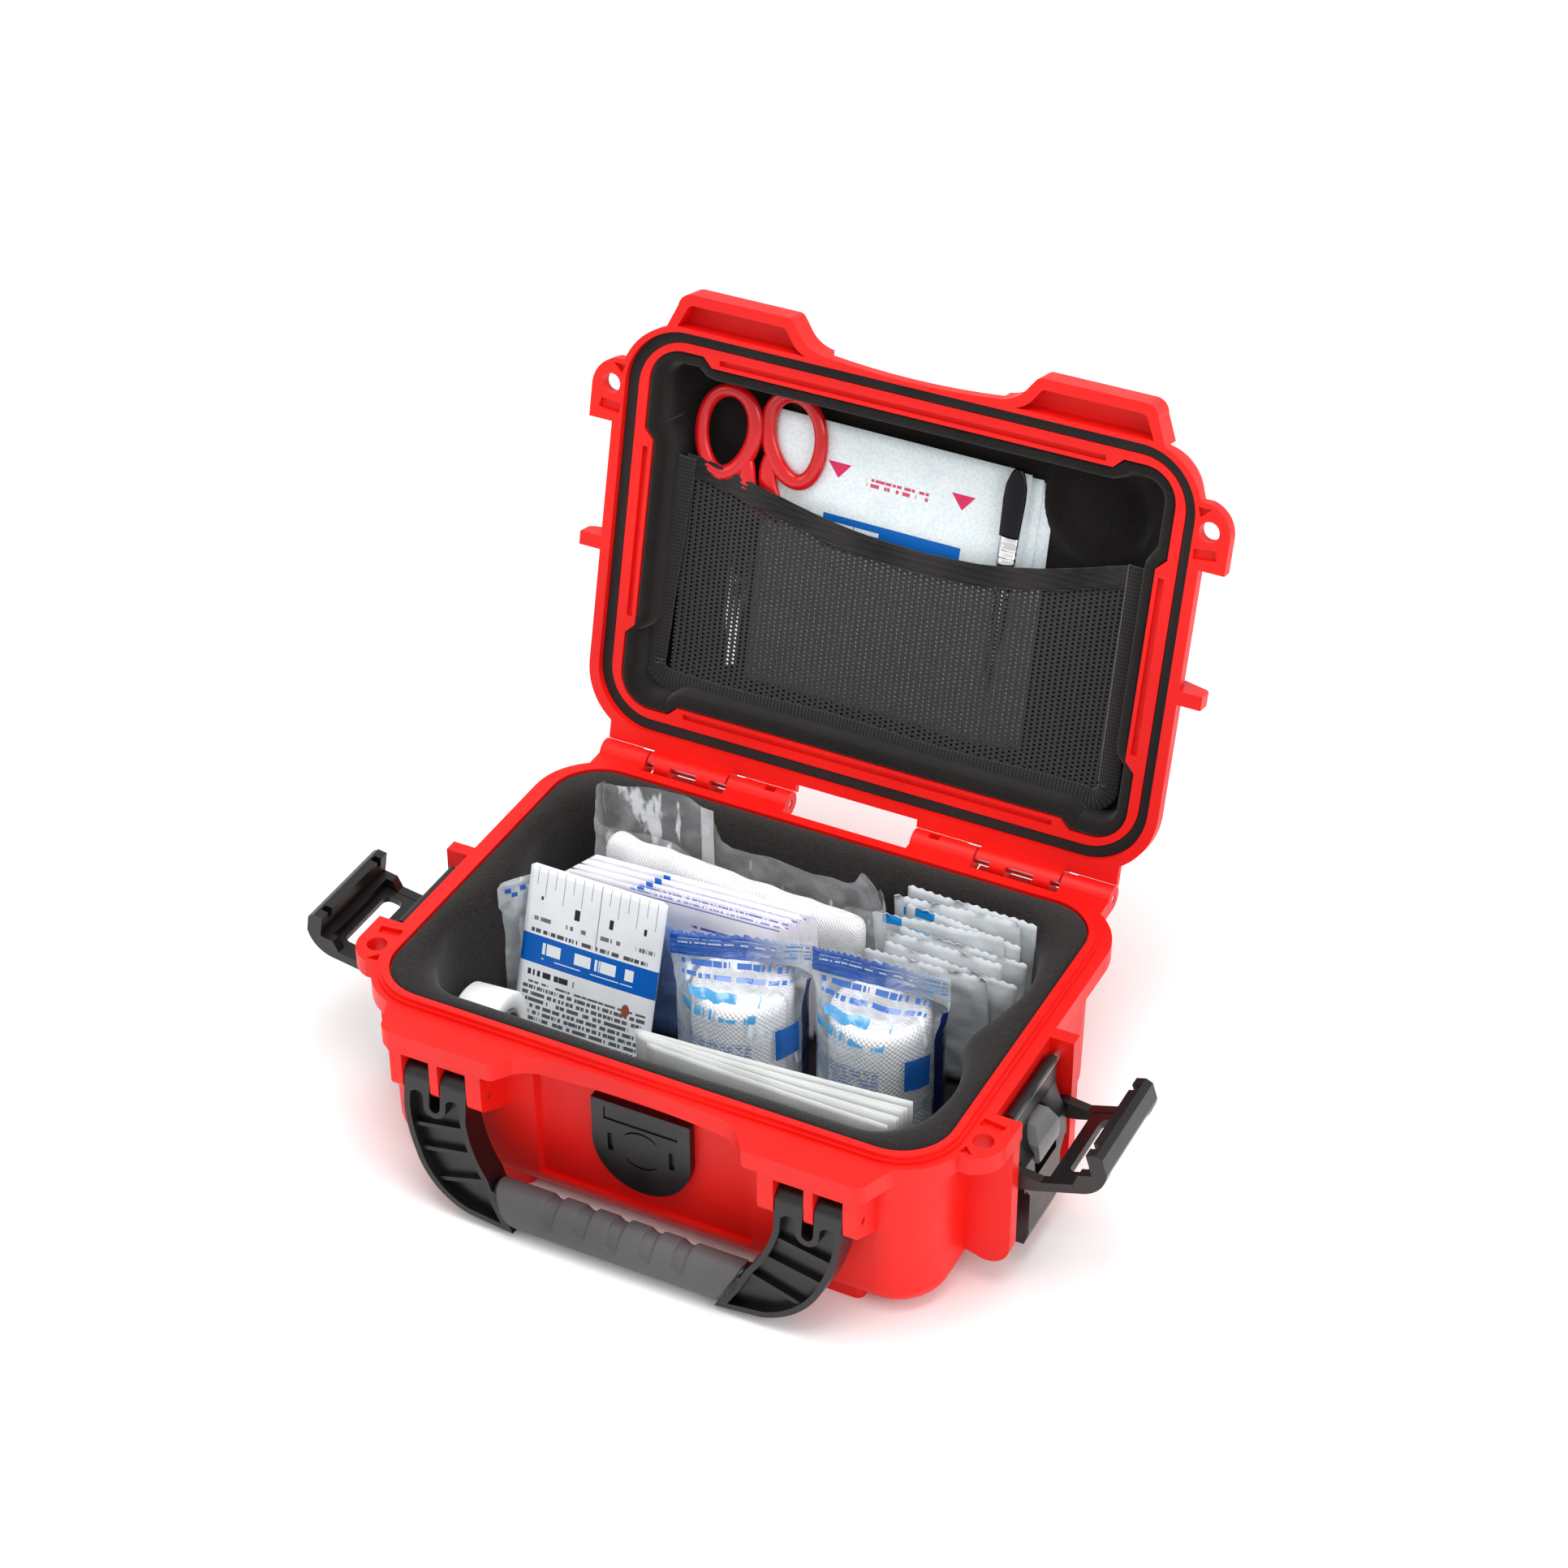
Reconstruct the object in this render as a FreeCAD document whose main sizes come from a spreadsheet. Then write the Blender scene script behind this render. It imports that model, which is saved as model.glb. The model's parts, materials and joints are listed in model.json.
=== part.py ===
import FreeCAD, Part
import math
import os
import Sketcher

from FreeCAD import Placement, Rotation, Vector

# A small hard-shell first aid kit, open: a moulded base and lid on two steel hinge pins,
# a carrying handle, two claw latches, a pressure valve, liners and the packed contents.
# Millimetres. +X is the right-hand side, +Y the hinge side, +Z up.
# The origin is the centre of the base's footprint, on the ground.
# The lid and its contents are built closed and turned open by their Placement.

DIMENSIONS = {
    # base and lid shells
    "rim_height": 75.0, "ridge_height": 3.0, "ridge_width": 4.0, "foot_height": 3.0,
    "case_half_length": 113.5, "case_half_depth": 78.5, "case_corner": 21.0, "wall": 3.0,
    "draft": 1.0, "flange_half_length": 121.0, "flange_half_depth": 85.5,
    "flange_thickness": 7.5, "ridge_half_length": 112.5, "ridge_half_depth": 77.5,
    "ridge_corner": 20.0, "front_recess": 3.5, "recess_half_width": 46.0,
    "lid_gap": 0.15, "lid_flange": 5.4, "lid_height": 33.0, "lid_draft": 3.5, "lid_rail": 3.5,
    "groove_clearance": 0.3, "groove_depth": 4.1, "brow_reach": 97.0, "brow_depth": 11.0,
    "brow_inner": 36.0, "brow_outer": 92.0, "lip_reach": 88.4,
    # hinge
    "hinge_back": 93.4, "hinge_height": 73.4, "lid_open": 104.3, "hinge_pin_radius": 1.6,
    "barrel_radius": 5.0, "running_gap": 0.05, "fixed_gap": 0.02,
    # padlock ears, latch bay and its ribs
    "ear_reach": 131.0, "ear_hole_radius": 3.9, "ear_hole_across": 122.8, "ear_hole_front": 55.4,
    "bay_front": 40.5, "bay_back": 6.5, "rib_thickness": 5.5, "rib_bottom": 11.0,
    "rib_reach": 130.3,
    # handle
    "handle_pin_front": 89.5, "handle_pin_height": 54.0, "handle_pin_radius": 1.5,
    "handle_tilt": 8.0, "bracket_inner": 55.5, "bracket_outer": 93.5, "bracket_front": 95.5,
    "notch_inner_start": 61.7, "notch_inner_end": 73.5, "notch_outer_start": 77.0,
    "notch_outer_end": 88.5, "notch_top": 64.8, "handle_thickness": 11.0,
    # latches
    "lever_pin_across": 124.4, "lever_pin_height": 68.6, "claw_pin_across": 126.0,
    "claw_pin_height": 46.5, "latch_pin_radius": 1.5, "claw_swing": 72.0, "claw_swing_left": 81.0,
    "claw_arm": 4.0, "claw_reach": 40.2, "hook_inner": 34.2, "hook_depth": 12.4,
    "lever_half_width": 18.7, "tongue_half_width": 13.5,
    # contents
    "liner_thickness": 2.5, "foam_floor": 17.5, "foam_top": 77.5,
    "card_width": 58.0, "card_length": 75.0, "card_thickness": 0.8, "card_lean": 17.9,
    "tape_radius": 19.5, "tape_width": 17.5, "tape_core_radius": 12.5,
    "gauze_radius": 19.0, "gauze_length": 46.5,
}

doc = FreeCAD.newDocument("first_aid_kit")
sheet = doc.addObject("Spreadsheet::Sheet", "Dims")
PARTS = []


class Size:
    """A length that keeps the spreadsheet expression it is worked out from."""

    def __init__(self, value, text):
        self.value = value
        self.text = text

    def __add__(self, other):
        other = as_size(other)
        return Size(self.value + other.value, "(%s + %s)" % (self.text, other.text))

    def __sub__(self, other):
        other = as_size(other)
        return Size(self.value - other.value, "(%s - %s)" % (self.text, other.text))

    def __mul__(self, other):
        other = as_size(other)
        return Size(self.value * other.value, "(%s * %s)" % (self.text, other.text))

    def __neg__(self):
        return Size(-self.value, "(0 - %s)" % self.text)

    def __radd__(self, other):
        return as_size(other) + self

    def __rsub__(self, other):
        return as_size(other) - self

    __rmul__ = __mul__


def as_size(number):
    if isinstance(number, Size):
        return number
    return Size(float(number), "(%.6f)" % number)


def fill_sheet():
    for row, (alias, number) in enumerate(DIMENSIONS.items(), start=1):
        sheet.set("A%d" % row, alias)
        sheet.set("B%d" % row, "%g" % number)
        sheet.setAlias("B%d" % row, alias)
    doc.recompute()


class Dimensions:
    """Reads a driving dimension by name, bound to its spreadsheet cell."""

    def __getattr__(self, alias):
        return Size(DIMENSIONS[alias], "Dims." + alias)


d = Dimensions()


# ---------------------------------------------------------------- modelling helpers

def bind(feature, name, length):
    length = as_size(length)
    if length.text.startswith("(") and "Dims" not in length.text:
        length = Size(length.value, "%.6f" % length.value)
    feature.setExpression(name, length.text)


def new_body(label):
    body = doc.addObject("PartDesign::Body", label)
    body.Label = label
    PARTS.append(body)
    return body


def origin_plane(body, role):
    return next(item for item in body.Origin.OriginFeatures if item.Role == role)


def new_sketch(body, role, offset=0.0):
    """A sketch on one of the body's own planes; offset runs along the plane's normal."""
    sketch = body.newObject("Sketcher::SketchObject", body.Label + "_sketch")
    sketch.AttachmentSupport = [(origin_plane(body, role), "")]
    sketch.MapMode = "FlatFace"
    bind(sketch, "AttachmentOffset.Base.z", offset)
    return sketch


def arc_between(start, end, radius):
    """Arc from start to end; a positive radius turns left, a negative one turns right."""
    chord = end - start
    half = chord.Length / 2
    rise = math.sqrt(max(radius * radius - half * half, 0.0))
    left = Vector(-chord.y, chord.x, 0).normalize()
    centre = (start + end) * 0.5 + left * math.copysign(rise, radius)
    first, last = (start, end) if radius > 0 else (end, start)
    begin = math.atan2(first.y - centre.y, first.x - centre.x)
    finish = math.atan2(last.y - centre.y, last.x - centre.x)
    circle = Part.Circle(centre, Vector(0, 0, 1), abs(radius))
    return Part.ArcOfCircle(circle, begin, finish)


def outline(sketch, corners):
    """A closed outline. A corner is (x, y), or (x, y, radius) when an arc arrives at it."""
    spots = [Vector(as_size(c[0]).value, as_size(c[1]).value, 0) for c in corners]
    ends = []
    for index, corner in enumerate(corners):
        start = spots[index - 1]
        end = spots[index]
        if len(corner) == 3:
            radius = as_size(corner[2])
            edge = sketch.addGeometry(arc_between(start, end, radius.value), False)
            ends.append((edge, 1, 2) if radius.value > 0 else (edge, 2, 1))
            rule = sketch.addConstraint(
                Sketcher.Constraint("Radius", edge, abs(radius.value)))
            bind_rule(sketch, rule, radius if radius.value > 0 else -radius)
        else:
            edge = sketch.addGeometry(Part.LineSegment(start, end), False)
            ends.append((edge, 1, 2))
    for index, (edge, _, last) in enumerate(ends):
        follower, first, _ = ends[(index + 1) % len(ends)]
        sketch.addConstraint(Sketcher.Constraint("Coincident", edge, last, follower, first))
        across, up = corners[index][0], corners[index][1]
        for kind, length in (("DistanceX", across), ("DistanceY", up)):
            value = as_size(length).value
            rule = sketch.addConstraint(Sketcher.Constraint(kind, -1, 1, edge, last, value))
            bind_rule(sketch, rule, length)


def bind_rule(sketch, rule, length):
    if isinstance(length, Size) and "Dims" in length.text:
        sketch.setExpression("Constraints[%d]" % rule, length.text)


def circle(sketch, across, up, radius):
    centre = Vector(as_size(across).value, as_size(up).value, 0)
    ring = sketch.addGeometry(
        Part.Circle(centre, Vector(0, 0, 1), as_size(radius).value), False)
    for kind, length in (("DistanceX", across), ("DistanceY", up)):
        rule = sketch.addConstraint(
            Sketcher.Constraint(kind, -1, 1, ring, 3, as_size(length).value))
        bind_rule(sketch, rule, length)
    rule = sketch.addConstraint(Sketcher.Constraint("Radius", ring, as_size(radius).value))
    bind_rule(sketch, rule, radius)


def box_corners(left, right, low, high):
    return [(left, low), (right, low), (right, high), (left, high)]


def rounded_corners(left, right, low, high, radius):
    """Corners of a rounded rectangle, anticlockwise."""
    return [
        (left + radius, low, radius), (right - radius, low),
        (right, low + radius, radius), (right, high - radius),
        (right - radius, high, radius), (left + radius, high),
        (left, high - radius, radius), (left, low + radius),
    ]


def centred_round(half_length, half_depth, radius):
    return rounded_corners(-half_length, as_size(half_length), -half_depth,
                           as_size(half_depth), as_size(radius))


def volume(body):
    return body.Shape.Volume if body.Tip and not body.Shape.isNull() else 0.0


def pad(body, sketch, length, both=False, back=False, taper=None):
    before = volume(body)
    feature = body.newObject("PartDesign::Pad", body.Label + "_pad")
    feature.Profile = sketch
    bind(feature, "Length", length)
    feature.Midplane = both
    feature.Reversed = back
    if taper is not None:
        bind(feature, "TaperAngle", taper)
    doc.recompute()
    assert volume(body) > before, body.Label + ": a pad added nothing"
    return feature


def pocket(body, sketch, length, both=False, back=False, taper=None):
    before = volume(body)
    feature = body.newObject("PartDesign::Pocket", body.Label + "_pocket")
    feature.Profile = sketch
    bind(feature, "Length", length)
    feature.Midplane = both
    feature.Reversed = back
    if taper is not None:
        bind(feature, "TaperAngle", taper)
    doc.recompute()
    assert volume(body) < before, body.Label + ": a pocket cut nothing"
    return feature


def fillet(body, radius, wanted):
    """Rounds every edge of the body's present shape that wanted() picks."""
    base = body.Tip
    names = ["Edge%d" % number for number, edge in enumerate(base.Shape.Edges, start=1)
             if wanted(edge)]
    assert names, body.Label + ": no edge to round"
    feature = body.newObject("PartDesign::Fillet", body.Label + "_round")
    feature.Base = (base, names)
    bind(feature, "Radius", radius)
    doc.recompute()
    return feature


def edge_box(edge, low, high):
    """True when the whole edge lies inside the box from low to high."""
    box = edge.BoundBox
    return (box.XMin >= low[0] and box.YMin >= low[1] and box.ZMin >= low[2]
            and box.XMax <= high[0] and box.YMax <= high[1] and box.ZMax <= high[2])


def cylinder(label, radius, length, start, axis):
    """A plain round pin from start along axis."""
    pin = doc.addObject("Part::Cylinder", label)
    pin.Label = label
    bind(pin, "Radius", radius)
    bind(pin, "Height", length)
    pin.Placement = Placement(start, Rotation(Vector(0, 0, 1), axis))
    PARTS.append(pin)
    return pin


def turn(spot, axis, angle):
    """Placement that turns a part about a line through spot."""
    return Placement(Vector(0, 0, 0), Rotation(axis, angle), spot)


def lid_placement():
    spot = Vector(0, DIMENSIONS["hinge_back"], DIMENSIONS["hinge_height"])
    return turn(spot, Vector(-1, 0, 0), DIMENSIONS["lid_open"])


# ---------------------------------------------------------------- shells

def flange_outline(corner):
    """Outline of the rim, front middle first, anticlockwise, with ears, brows and ribs."""
    reach = d.flange_half_length
    bay_rib = d.bay_back + d.rib_thickness
    back = d.flange_half_depth
    brow = -d.brow_reach
    ear = d.ear_reach
    right = [
        (d.brow_inner, -85.6, -330.0), (45.2, -90.2, -15.0),
        (49.0, -95.4), (52.4, brow, 3.4), (d.brow_outer, brow), (97.5, -92.0, 5.6),
        (101.6, -82.4), (118.0, -65.8, 25.5), (121.5, -65.8),
        (ear, -54.5, 12.5), (ear, -d.bay_front), (reach, -d.bay_front),
        (reach, d.bay_back), (d.rib_reach, d.bay_back), (d.rib_reach, bay_rib),
        (reach, bay_rib), (reach, back - corner), (reach - corner, back, corner),
    ]
    return right + mirrored(right)


def mirrored(corners):
    """The same corners on the left-hand side, in reverse, closing an anticlockwise loop."""
    left = []
    for index in range(len(corners) - 1, -1, -1):
        across, up = corners[index][0], corners[index][1]
        following = corners[index + 1] if index + 1 < len(corners) else ()
        spot = (-as_size(across), up)
        if len(following) == 3:
            spot = spot + (following[2],)
        left.append(spot)
    return left


def base_shell():
    body = new_body("base_shell")
    rim = d.rim_height
    tall = rim - d.foot_height
    sketch = new_sketch(body, "XY_Plane", rim)
    outline(sketch, centred_round(d.case_half_length, d.case_half_depth, d.case_corner))
    pad(body, sketch, tall, back=True, taper=-d.draft)
    foot = DIMENSIONS["foot_height"]
    fillet(body, 9.0, lambda e: abs(e.BoundBox.ZMax - foot) < 0.01)
    sketch = new_sketch(body, "XY_Plane", rim)
    outline(sketch, flange_outline(27.0))
    pad(body, sketch, d.flange_thickness, back=True)
    base_brackets(body)
    base_ribs(body)
    base_barrels(body)
    base_cavity(body)
    base_ridge(body)
    base_holes(body)
    base_feet(body)
    return body


def base_brackets(body):
    """Two handle brackets under the front brows, three ears each, and the front recess."""
    profile = [(-d.bracket_front, 70.0), (-d.bracket_front, 51.5), (-92.5, 48.0, 3.9),
               (-76.0, 39.0), (-76.0, 70.0)]
    for start in (d.bracket_inner, -d.bracket_outer):
        sketch = new_sketch(body, "YZ_Plane", start)
        outline(sketch, profile)
        pad(body, sketch, d.bracket_outer - d.bracket_inner)
    sketch = new_sketch(body, "XY_Plane", d.notch_top)
    for first, last in ((d.notch_inner_start, d.notch_inner_end),
                        (d.notch_outer_start, d.notch_outer_end)):
        outline(sketch, box_corners(first, last, -100.0, -80.0))
        outline(sketch, box_corners(-last, -first, -100.0, -80.0))
    pocket(body, sketch, 30.0)
    sketch = new_sketch(body, "XY_Plane", d.rim_height - d.flange_thickness)
    recess = d.case_half_depth - d.front_recess
    outline(sketch, [(-d.recess_half_width, -84.0), (d.recess_half_width, -84.0),
                     (d.recess_half_width - 3.0, -recess), (3.0 - d.recess_half_width, -recess)])
    pocket(body, sketch, 56.0)
    sketch = new_sketch(body, "YZ_Plane", 0.0)
    circle(sketch, -d.handle_pin_front, d.handle_pin_height,
           d.handle_pin_radius + d.fixed_gap)
    pocket(body, sketch, 200.0, both=True)


def rib_profile(side):
    """Side view of a rib below the rim: wide plate with a rounded outer bottom corner."""
    low = d.rib_bottom
    reach = d.rib_reach
    inner = 110.0
    corners = [(inner, low + 3.0), (inner + 10.0, low), (reach - 9.0, low),
               (reach, low + 9.0, 9.0), (reach, 70.0), (inner, 70.0)]
    if side > 0:
        return corners
    return mirrored(corners)


def base_ribs(body):
    """Ribs that close each latch bay: one under the ear, one at the back."""
    for side in (1, -1):
        for front in (-d.bay_front, d.bay_back + d.rib_thickness):
            sketch = new_sketch(body, "XZ_Plane", -front)
            outline(sketch, rib_profile(side))
            pad(body, sketch, d.rib_thickness)


def barrel_ranges():
    """Where the base's hinge barrels lie along the pins, right-hand side."""
    return ((26.6, 53.0), (89.0, 109.3))


def base_barrels(body):
    web = [(80.0, 68.0), (d.hinge_back, d.hinge_height - d.barrel_radius),
           (d.hinge_back + 3.6, 71.0), (d.hinge_back, d.rim_height), (80.0, d.rim_height)]
    shelf = [(80.0, 60.0), (97.0, 65.4), (97.4, 67.6), (80.0, 67.6)]
    for start in (53.0, -89.0):
        sketch = new_sketch(body, "YZ_Plane", start)
        outline(sketch, shelf)
        pad(body, sketch, 36.0)
    for first, last in barrel_ranges():
        for start in (first, -last):
            sketch = new_sketch(body, "YZ_Plane", start)
            outline(sketch, web)
            pad(body, sketch, last - first)
            sketch = new_sketch(body, "YZ_Plane", start)
            circle(sketch, d.hinge_back, d.hinge_height, d.barrel_radius)
            pad(body, sketch, last - first)
    sketch = new_sketch(body, "YZ_Plane", 0.0)
    circle(sketch, d.hinge_back, d.hinge_height, d.hinge_pin_radius + d.fixed_gap)
    pocket(body, sketch, 230.0, both=True)
    sketch = new_sketch(body, "XY_Plane", d.hinge_height + d.barrel_radius)
    for left, right, front, back in ((33.0, 37.5, 91.6, 94.6), (47.5, 53.5, 94.2, 99.0),
                                     (88.5, 94.0, 94.2, 99.0)):
        outline(sketch, box_corners(left, right, front, back))
        outline(sketch, box_corners(-right, -left, front, back))
    pocket(body, sketch, 2.6)


def base_cavity(body):
    sketch = new_sketch(body, "XY_Plane", d.rim_height)
    wall = d.wall
    outline(sketch, rounded_corners(wall - d.case_half_length, d.case_half_length - wall,
                                    d.front_recess + wall - d.case_half_depth,
                                    d.case_half_depth - wall, d.case_corner - wall))
    pocket(body, sketch, d.rim_height - d.foot_height - wall, taper=-d.draft)


def base_ridge(body):
    """Raised sealing ridge around the opening, with a lower step outside it."""
    for grow, height in ((d.ridge_width, as_size(1.4)), (d.ridge_width - 1.2, d.ridge_height)):
        sketch = new_sketch(body, "XY_Plane", d.rim_height)
        outline(sketch, centred_round(d.ridge_half_length + grow,
                                      d.ridge_half_depth + grow, d.ridge_corner + grow))
        outline(sketch, centred_round(d.ridge_half_length, d.ridge_half_depth,
                                      d.ridge_corner))
        pad(body, sketch, height)


def ear_recesses(sketch):
    """Shallow marks beside the padlock holes."""
    for side in (1, -1):
        bar = [(117.8, -48.2), (126.4, -49.0), (127.2, -45.2), (118.2, -44.2)]
        mark = [(117.2, -63.9), (122.4, -63.9), (118.6, -60.2)]
        for corners in (bar, mark):
            outline(sketch, corners if side > 0 else mirrored(corners))


def base_holes(body):
    """Padlock holes, marks beside them, latch pin holes and the valve hole."""
    sketch = new_sketch(body, "XY_Plane", d.rim_height)
    for side in (1, -1):
        circle(sketch, side * d.ear_hole_across, -d.ear_hole_front, d.ear_hole_radius)
    pocket(body, sketch, 12.0)
    sketch = new_sketch(body, "XY_Plane", d.rim_height)
    ear_recesses(sketch)
    pocket(body, sketch, 2.0)
    for start, depth in ((-d.bay_front - 4.5, 4.5), (d.bay_back, 4.5)):
        sketch = new_sketch(body, "XZ_Plane", -start)
        for side in (1, -1):
            circle(sketch, side * d.lever_pin_across, d.lever_pin_height,
                   d.latch_pin_radius + d.fixed_gap)
        pocket(body, sketch, depth)
    sketch = new_sketch(body, "XZ_Plane", 70.0)
    circle(sketch, 0.0, 40.0, 9.1)
    pocket(body, sketch, 10.0, back=True)


def base_feet(body):
    """Four feet near the corners and a flat pad in the middle."""
    sketch = new_sketch(body, "XY_Plane", d.foot_height + 2.0)
    outline(sketch, centred_round(as_size(30.0), as_size(20.0), as_size(3.0)))
    for side in (1, -1):
        for low, high in ((-74.0, -62.0), (62.0, 74.0)):
            if side > 0:
                outline(sketch, rounded_corners(as_size(50.0), as_size(86.0), as_size(low),
                                                as_size(high), as_size(3.0)))
            else:
                outline(sketch, rounded_corners(as_size(-86.0), as_size(-50.0), as_size(low),
                                                as_size(high), as_size(3.0)))
    pad(body, sketch, d.foot_height + 2.0, back=True)


def lid_opening():
    """Inside edge of the lid: narrower along the sides, wider towards the corners."""
    side = 104.2
    side_wide = 108.2
    front = 70.0
    front_wide = 73.8
    round_off = 14.0
    right = [
        (82.0, -front), (86.0, -front_wide), (side_wide - round_off, -front_wide),
        (side_wide, round_off - front_wide, round_off), (side_wide, -40.0), (side, -36.0),
        (side, 40.0), (side_wide, 44.0), (side_wide, front_wide - round_off),
        (side_wide - round_off, front_wide, round_off), (86.0, front_wide), (82.0, front),
    ]
    return right + mirrored(right)


def lid_slots():
    """Thin recesses beside the lid's opening, one along each side."""
    loops = []
    for side in (1, -1):
        if side > 0:
            loops.append(box_corners(105.6, 108.0, -33.0, 37.0))
            loops.append(box_corners(-79.0, 79.0, 71.4, 73.6))
        else:
            loops.append(box_corners(-108.0, -105.6, -33.0, 37.0))
            loops.append(box_corners(-79.0, 79.0, -73.6, -71.4))
    return loops


def lid_shell():
    body = new_body("lid_shell")
    face = d.rim_height + d.lid_gap
    sketch = new_sketch(body, "XY_Plane", face)
    outline(sketch, centred_round(d.case_half_length, d.case_half_depth, d.case_corner))
    pad(body, sketch, d.lid_height, taper=-d.lid_draft)
    top = DIMENSIONS["rim_height"] + DIMENSIONS["lid_gap"] + DIMENSIONS["lid_height"]
    fillet(body, 12.0, lambda e: abs(e.BoundBox.ZMin - top) < 0.01)
    sketch = new_sketch(body, "XY_Plane", face)
    outline(sketch, flange_outline(27.0))
    pad(body, sketch, d.lid_flange)
    lid_brows(body, face)
    lid_knuckles(body)
    sketch = new_sketch(body, "XY_Plane", face)
    outline(sketch, lid_opening())
    pocket(body, sketch, d.lid_height - d.wall, back=True, taper=-d.lid_draft)
    sketch = new_sketch(body, "XY_Plane", face)
    outline(sketch, centred_round(d.ridge_half_length, d.ridge_half_depth, d.ridge_corner))
    pocket(body, sketch, d.foam_top - face + 0.3, back=True)
    lid_groove(body, face)
    sketch = new_sketch(body, "XY_Plane", face)
    for loop in lid_slots():
        outline(sketch, loop)
    pocket(body, sketch, d.foam_top - face + 2.3, back=True)
    lid_ears(body, face)
    lid_rails(body, face)
    body.Placement = lid_placement()
    return body


def lid_brows(body, face):
    """The two hollow brows that stand out over the handle brackets."""
    brow = -d.brow_reach
    solid = [(d.brow_inner, -82.4), (d.brow_inner, -85.6), (45.2, -90.2, -15.0), (49.0, -95.4),
             (52.4, brow, 3.4), (d.brow_outer, brow), (97.5, -92.0, 5.6), (101.6, -82.4)]
    hollow = [(42.6, -83.7), (48.6, -87.7, -11.0), (51.6, -91.9), (53.9, -92.8, 2.6),
              (91.2, -92.8), (93.8, -90.4, 3.2), (97.0, -83.7)]
    for corners, cut in ((solid, False), (hollow, True)):
        sketch = new_sketch(body, "XY_Plane", face)
        outline(sketch, corners)
        outline(sketch, mirrored(corners))
        if cut:
            pocket(body, sketch, d.brow_depth - 2.5, back=True)
        else:
            pad(body, sketch, d.brow_depth)


def lid_knuckles(body):
    """One wide knuckle per hinge pin: a web, and two eyes around the pin."""
    web = [(82.0, 76.0), (88.0, 75.6), (90.0, 77.2), (93.4, 78.4), (90.0, 81.0), (82.0, 80.4)]
    eye = d.barrel_radius
    hood = [(91.1, 77.0), (d.hinge_back - eye, 77.0), (d.hinge_back - eye, d.hinge_height),
            (91.29, 68.87, eye), (92.43, 71.32), (91.1, d.hinge_height, -2.3)]
    for start in (53.8, -88.2):
        for corners in (web, hood):
            sketch = new_sketch(body, "YZ_Plane", start)
            outline(sketch, corners)
            pad(body, sketch, 34.4)
    face = d.rim_height + d.lid_gap
    lip = [(80.0, face), (d.lip_reach, face), (89.6, face + 2.2), (89.6, face + 3.0),
           (80.0, face + 3.0)]
    for start in (26.0, -109.0):
        sketch = new_sketch(body, "YZ_Plane", start)
        outline(sketch, lip)
        pad(body, sketch, 83.0)
    for first, last in ((60.0, 66.4), (78.0, 85.0)):
        for start in (first, -last):
            sketch = new_sketch(body, "YZ_Plane", start)
            circle(sketch, d.hinge_back, d.hinge_height, d.barrel_radius)
            pad(body, sketch, last - first)
    sketch = new_sketch(body, "YZ_Plane", 0.0)
    circle(sketch, d.hinge_back, d.hinge_height, d.hinge_pin_radius + d.running_gap)
    pocket(body, sketch, 230.0, both=True)


def lid_groove(body, face):
    sketch = new_sketch(body, "XY_Plane", face)
    gap = d.groove_clearance
    wide = d.ridge_width + gap
    outline(sketch, centred_round(d.ridge_half_length + wide, d.ridge_half_depth + wide,
                                  d.ridge_corner + wide))
    outline(sketch, centred_round(d.ridge_half_length - gap, d.ridge_half_depth - gap,
                                  d.ridge_corner - gap))
    pocket(body, sketch, d.groove_depth, back=True)


def lid_ears(body, face):
    """Padlock holes and marks in the ears, and the catch tab at the back of each bay."""
    sketch = new_sketch(body, "XY_Plane", face)
    for side in (1, -1):
        circle(sketch, side * d.ear_hole_across, -d.ear_hole_front, d.ear_hole_radius)
    pocket(body, sketch, 12.0, back=True)
    sketch = new_sketch(body, "XY_Plane", face)
    ear_recesses(sketch)
    pocket(body, sketch, 2.0, back=True)
    gusset = [(110.0, 79.6), (d.rib_reach, 79.6), (d.rib_reach, 82.0), (127.0, 84.5, 4.5),
              (110.0, 91.0)]
    for side in (1, -1):
        sketch = new_sketch(body, "XZ_Plane", -(d.bay_back + d.rib_thickness))
        outline(sketch, gusset if side > 0 else mirrored(gusset))
        pad(body, sketch, d.rib_thickness)


def lid_rails(body, face):
    """Two stacking rails on top of the lid."""
    sketch = new_sketch(body, "XY_Plane", face + d.lid_height)
    for middle in (-46.0, 46.0):
        outline(sketch, rounded_corners(as_size(-78.0), as_size(78.0), as_size(middle - 7.0),
                                        as_size(middle + 7.0), as_size(5.0)))
    pad(body, sketch, d.lid_rail, taper=-12.0)


def lid_gasket():
    body = new_body("lid_gasket")
    face = d.rim_height + d.lid_gap + d.groove_depth
    sketch = new_sketch(body, "XY_Plane", face - 0.05)
    wide = d.ridge_width
    outline(sketch, centred_round(d.ridge_half_length + wide, d.ridge_half_depth + wide,
                                  d.ridge_corner + wide))
    outline(sketch, centred_round(d.ridge_half_length, d.ridge_half_depth, d.ridge_corner))
    pad(body, sketch, d.groove_depth - d.ridge_height, back=True)
    body.Placement = lid_placement()


def hinge_pins():
    for name, start in (("left", -109.0), ("right", 27.0)):
        cylinder("hinge_pin_" + name, d.hinge_pin_radius, 82.0,
                 Vector(start, DIMENSIONS["hinge_back"], DIMENSIONS["hinge_height"]),
                 Vector(1, 0, 0))


# ---------------------------------------------------------------- handle

def handle_turn():
    spot = Vector(0, -DIMENSIONS["handle_pin_front"], DIMENSIONS["handle_pin_height"])
    return turn(spot, Vector(-1, 0, 0), DIMENSIONS["handle_tilt"])


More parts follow.
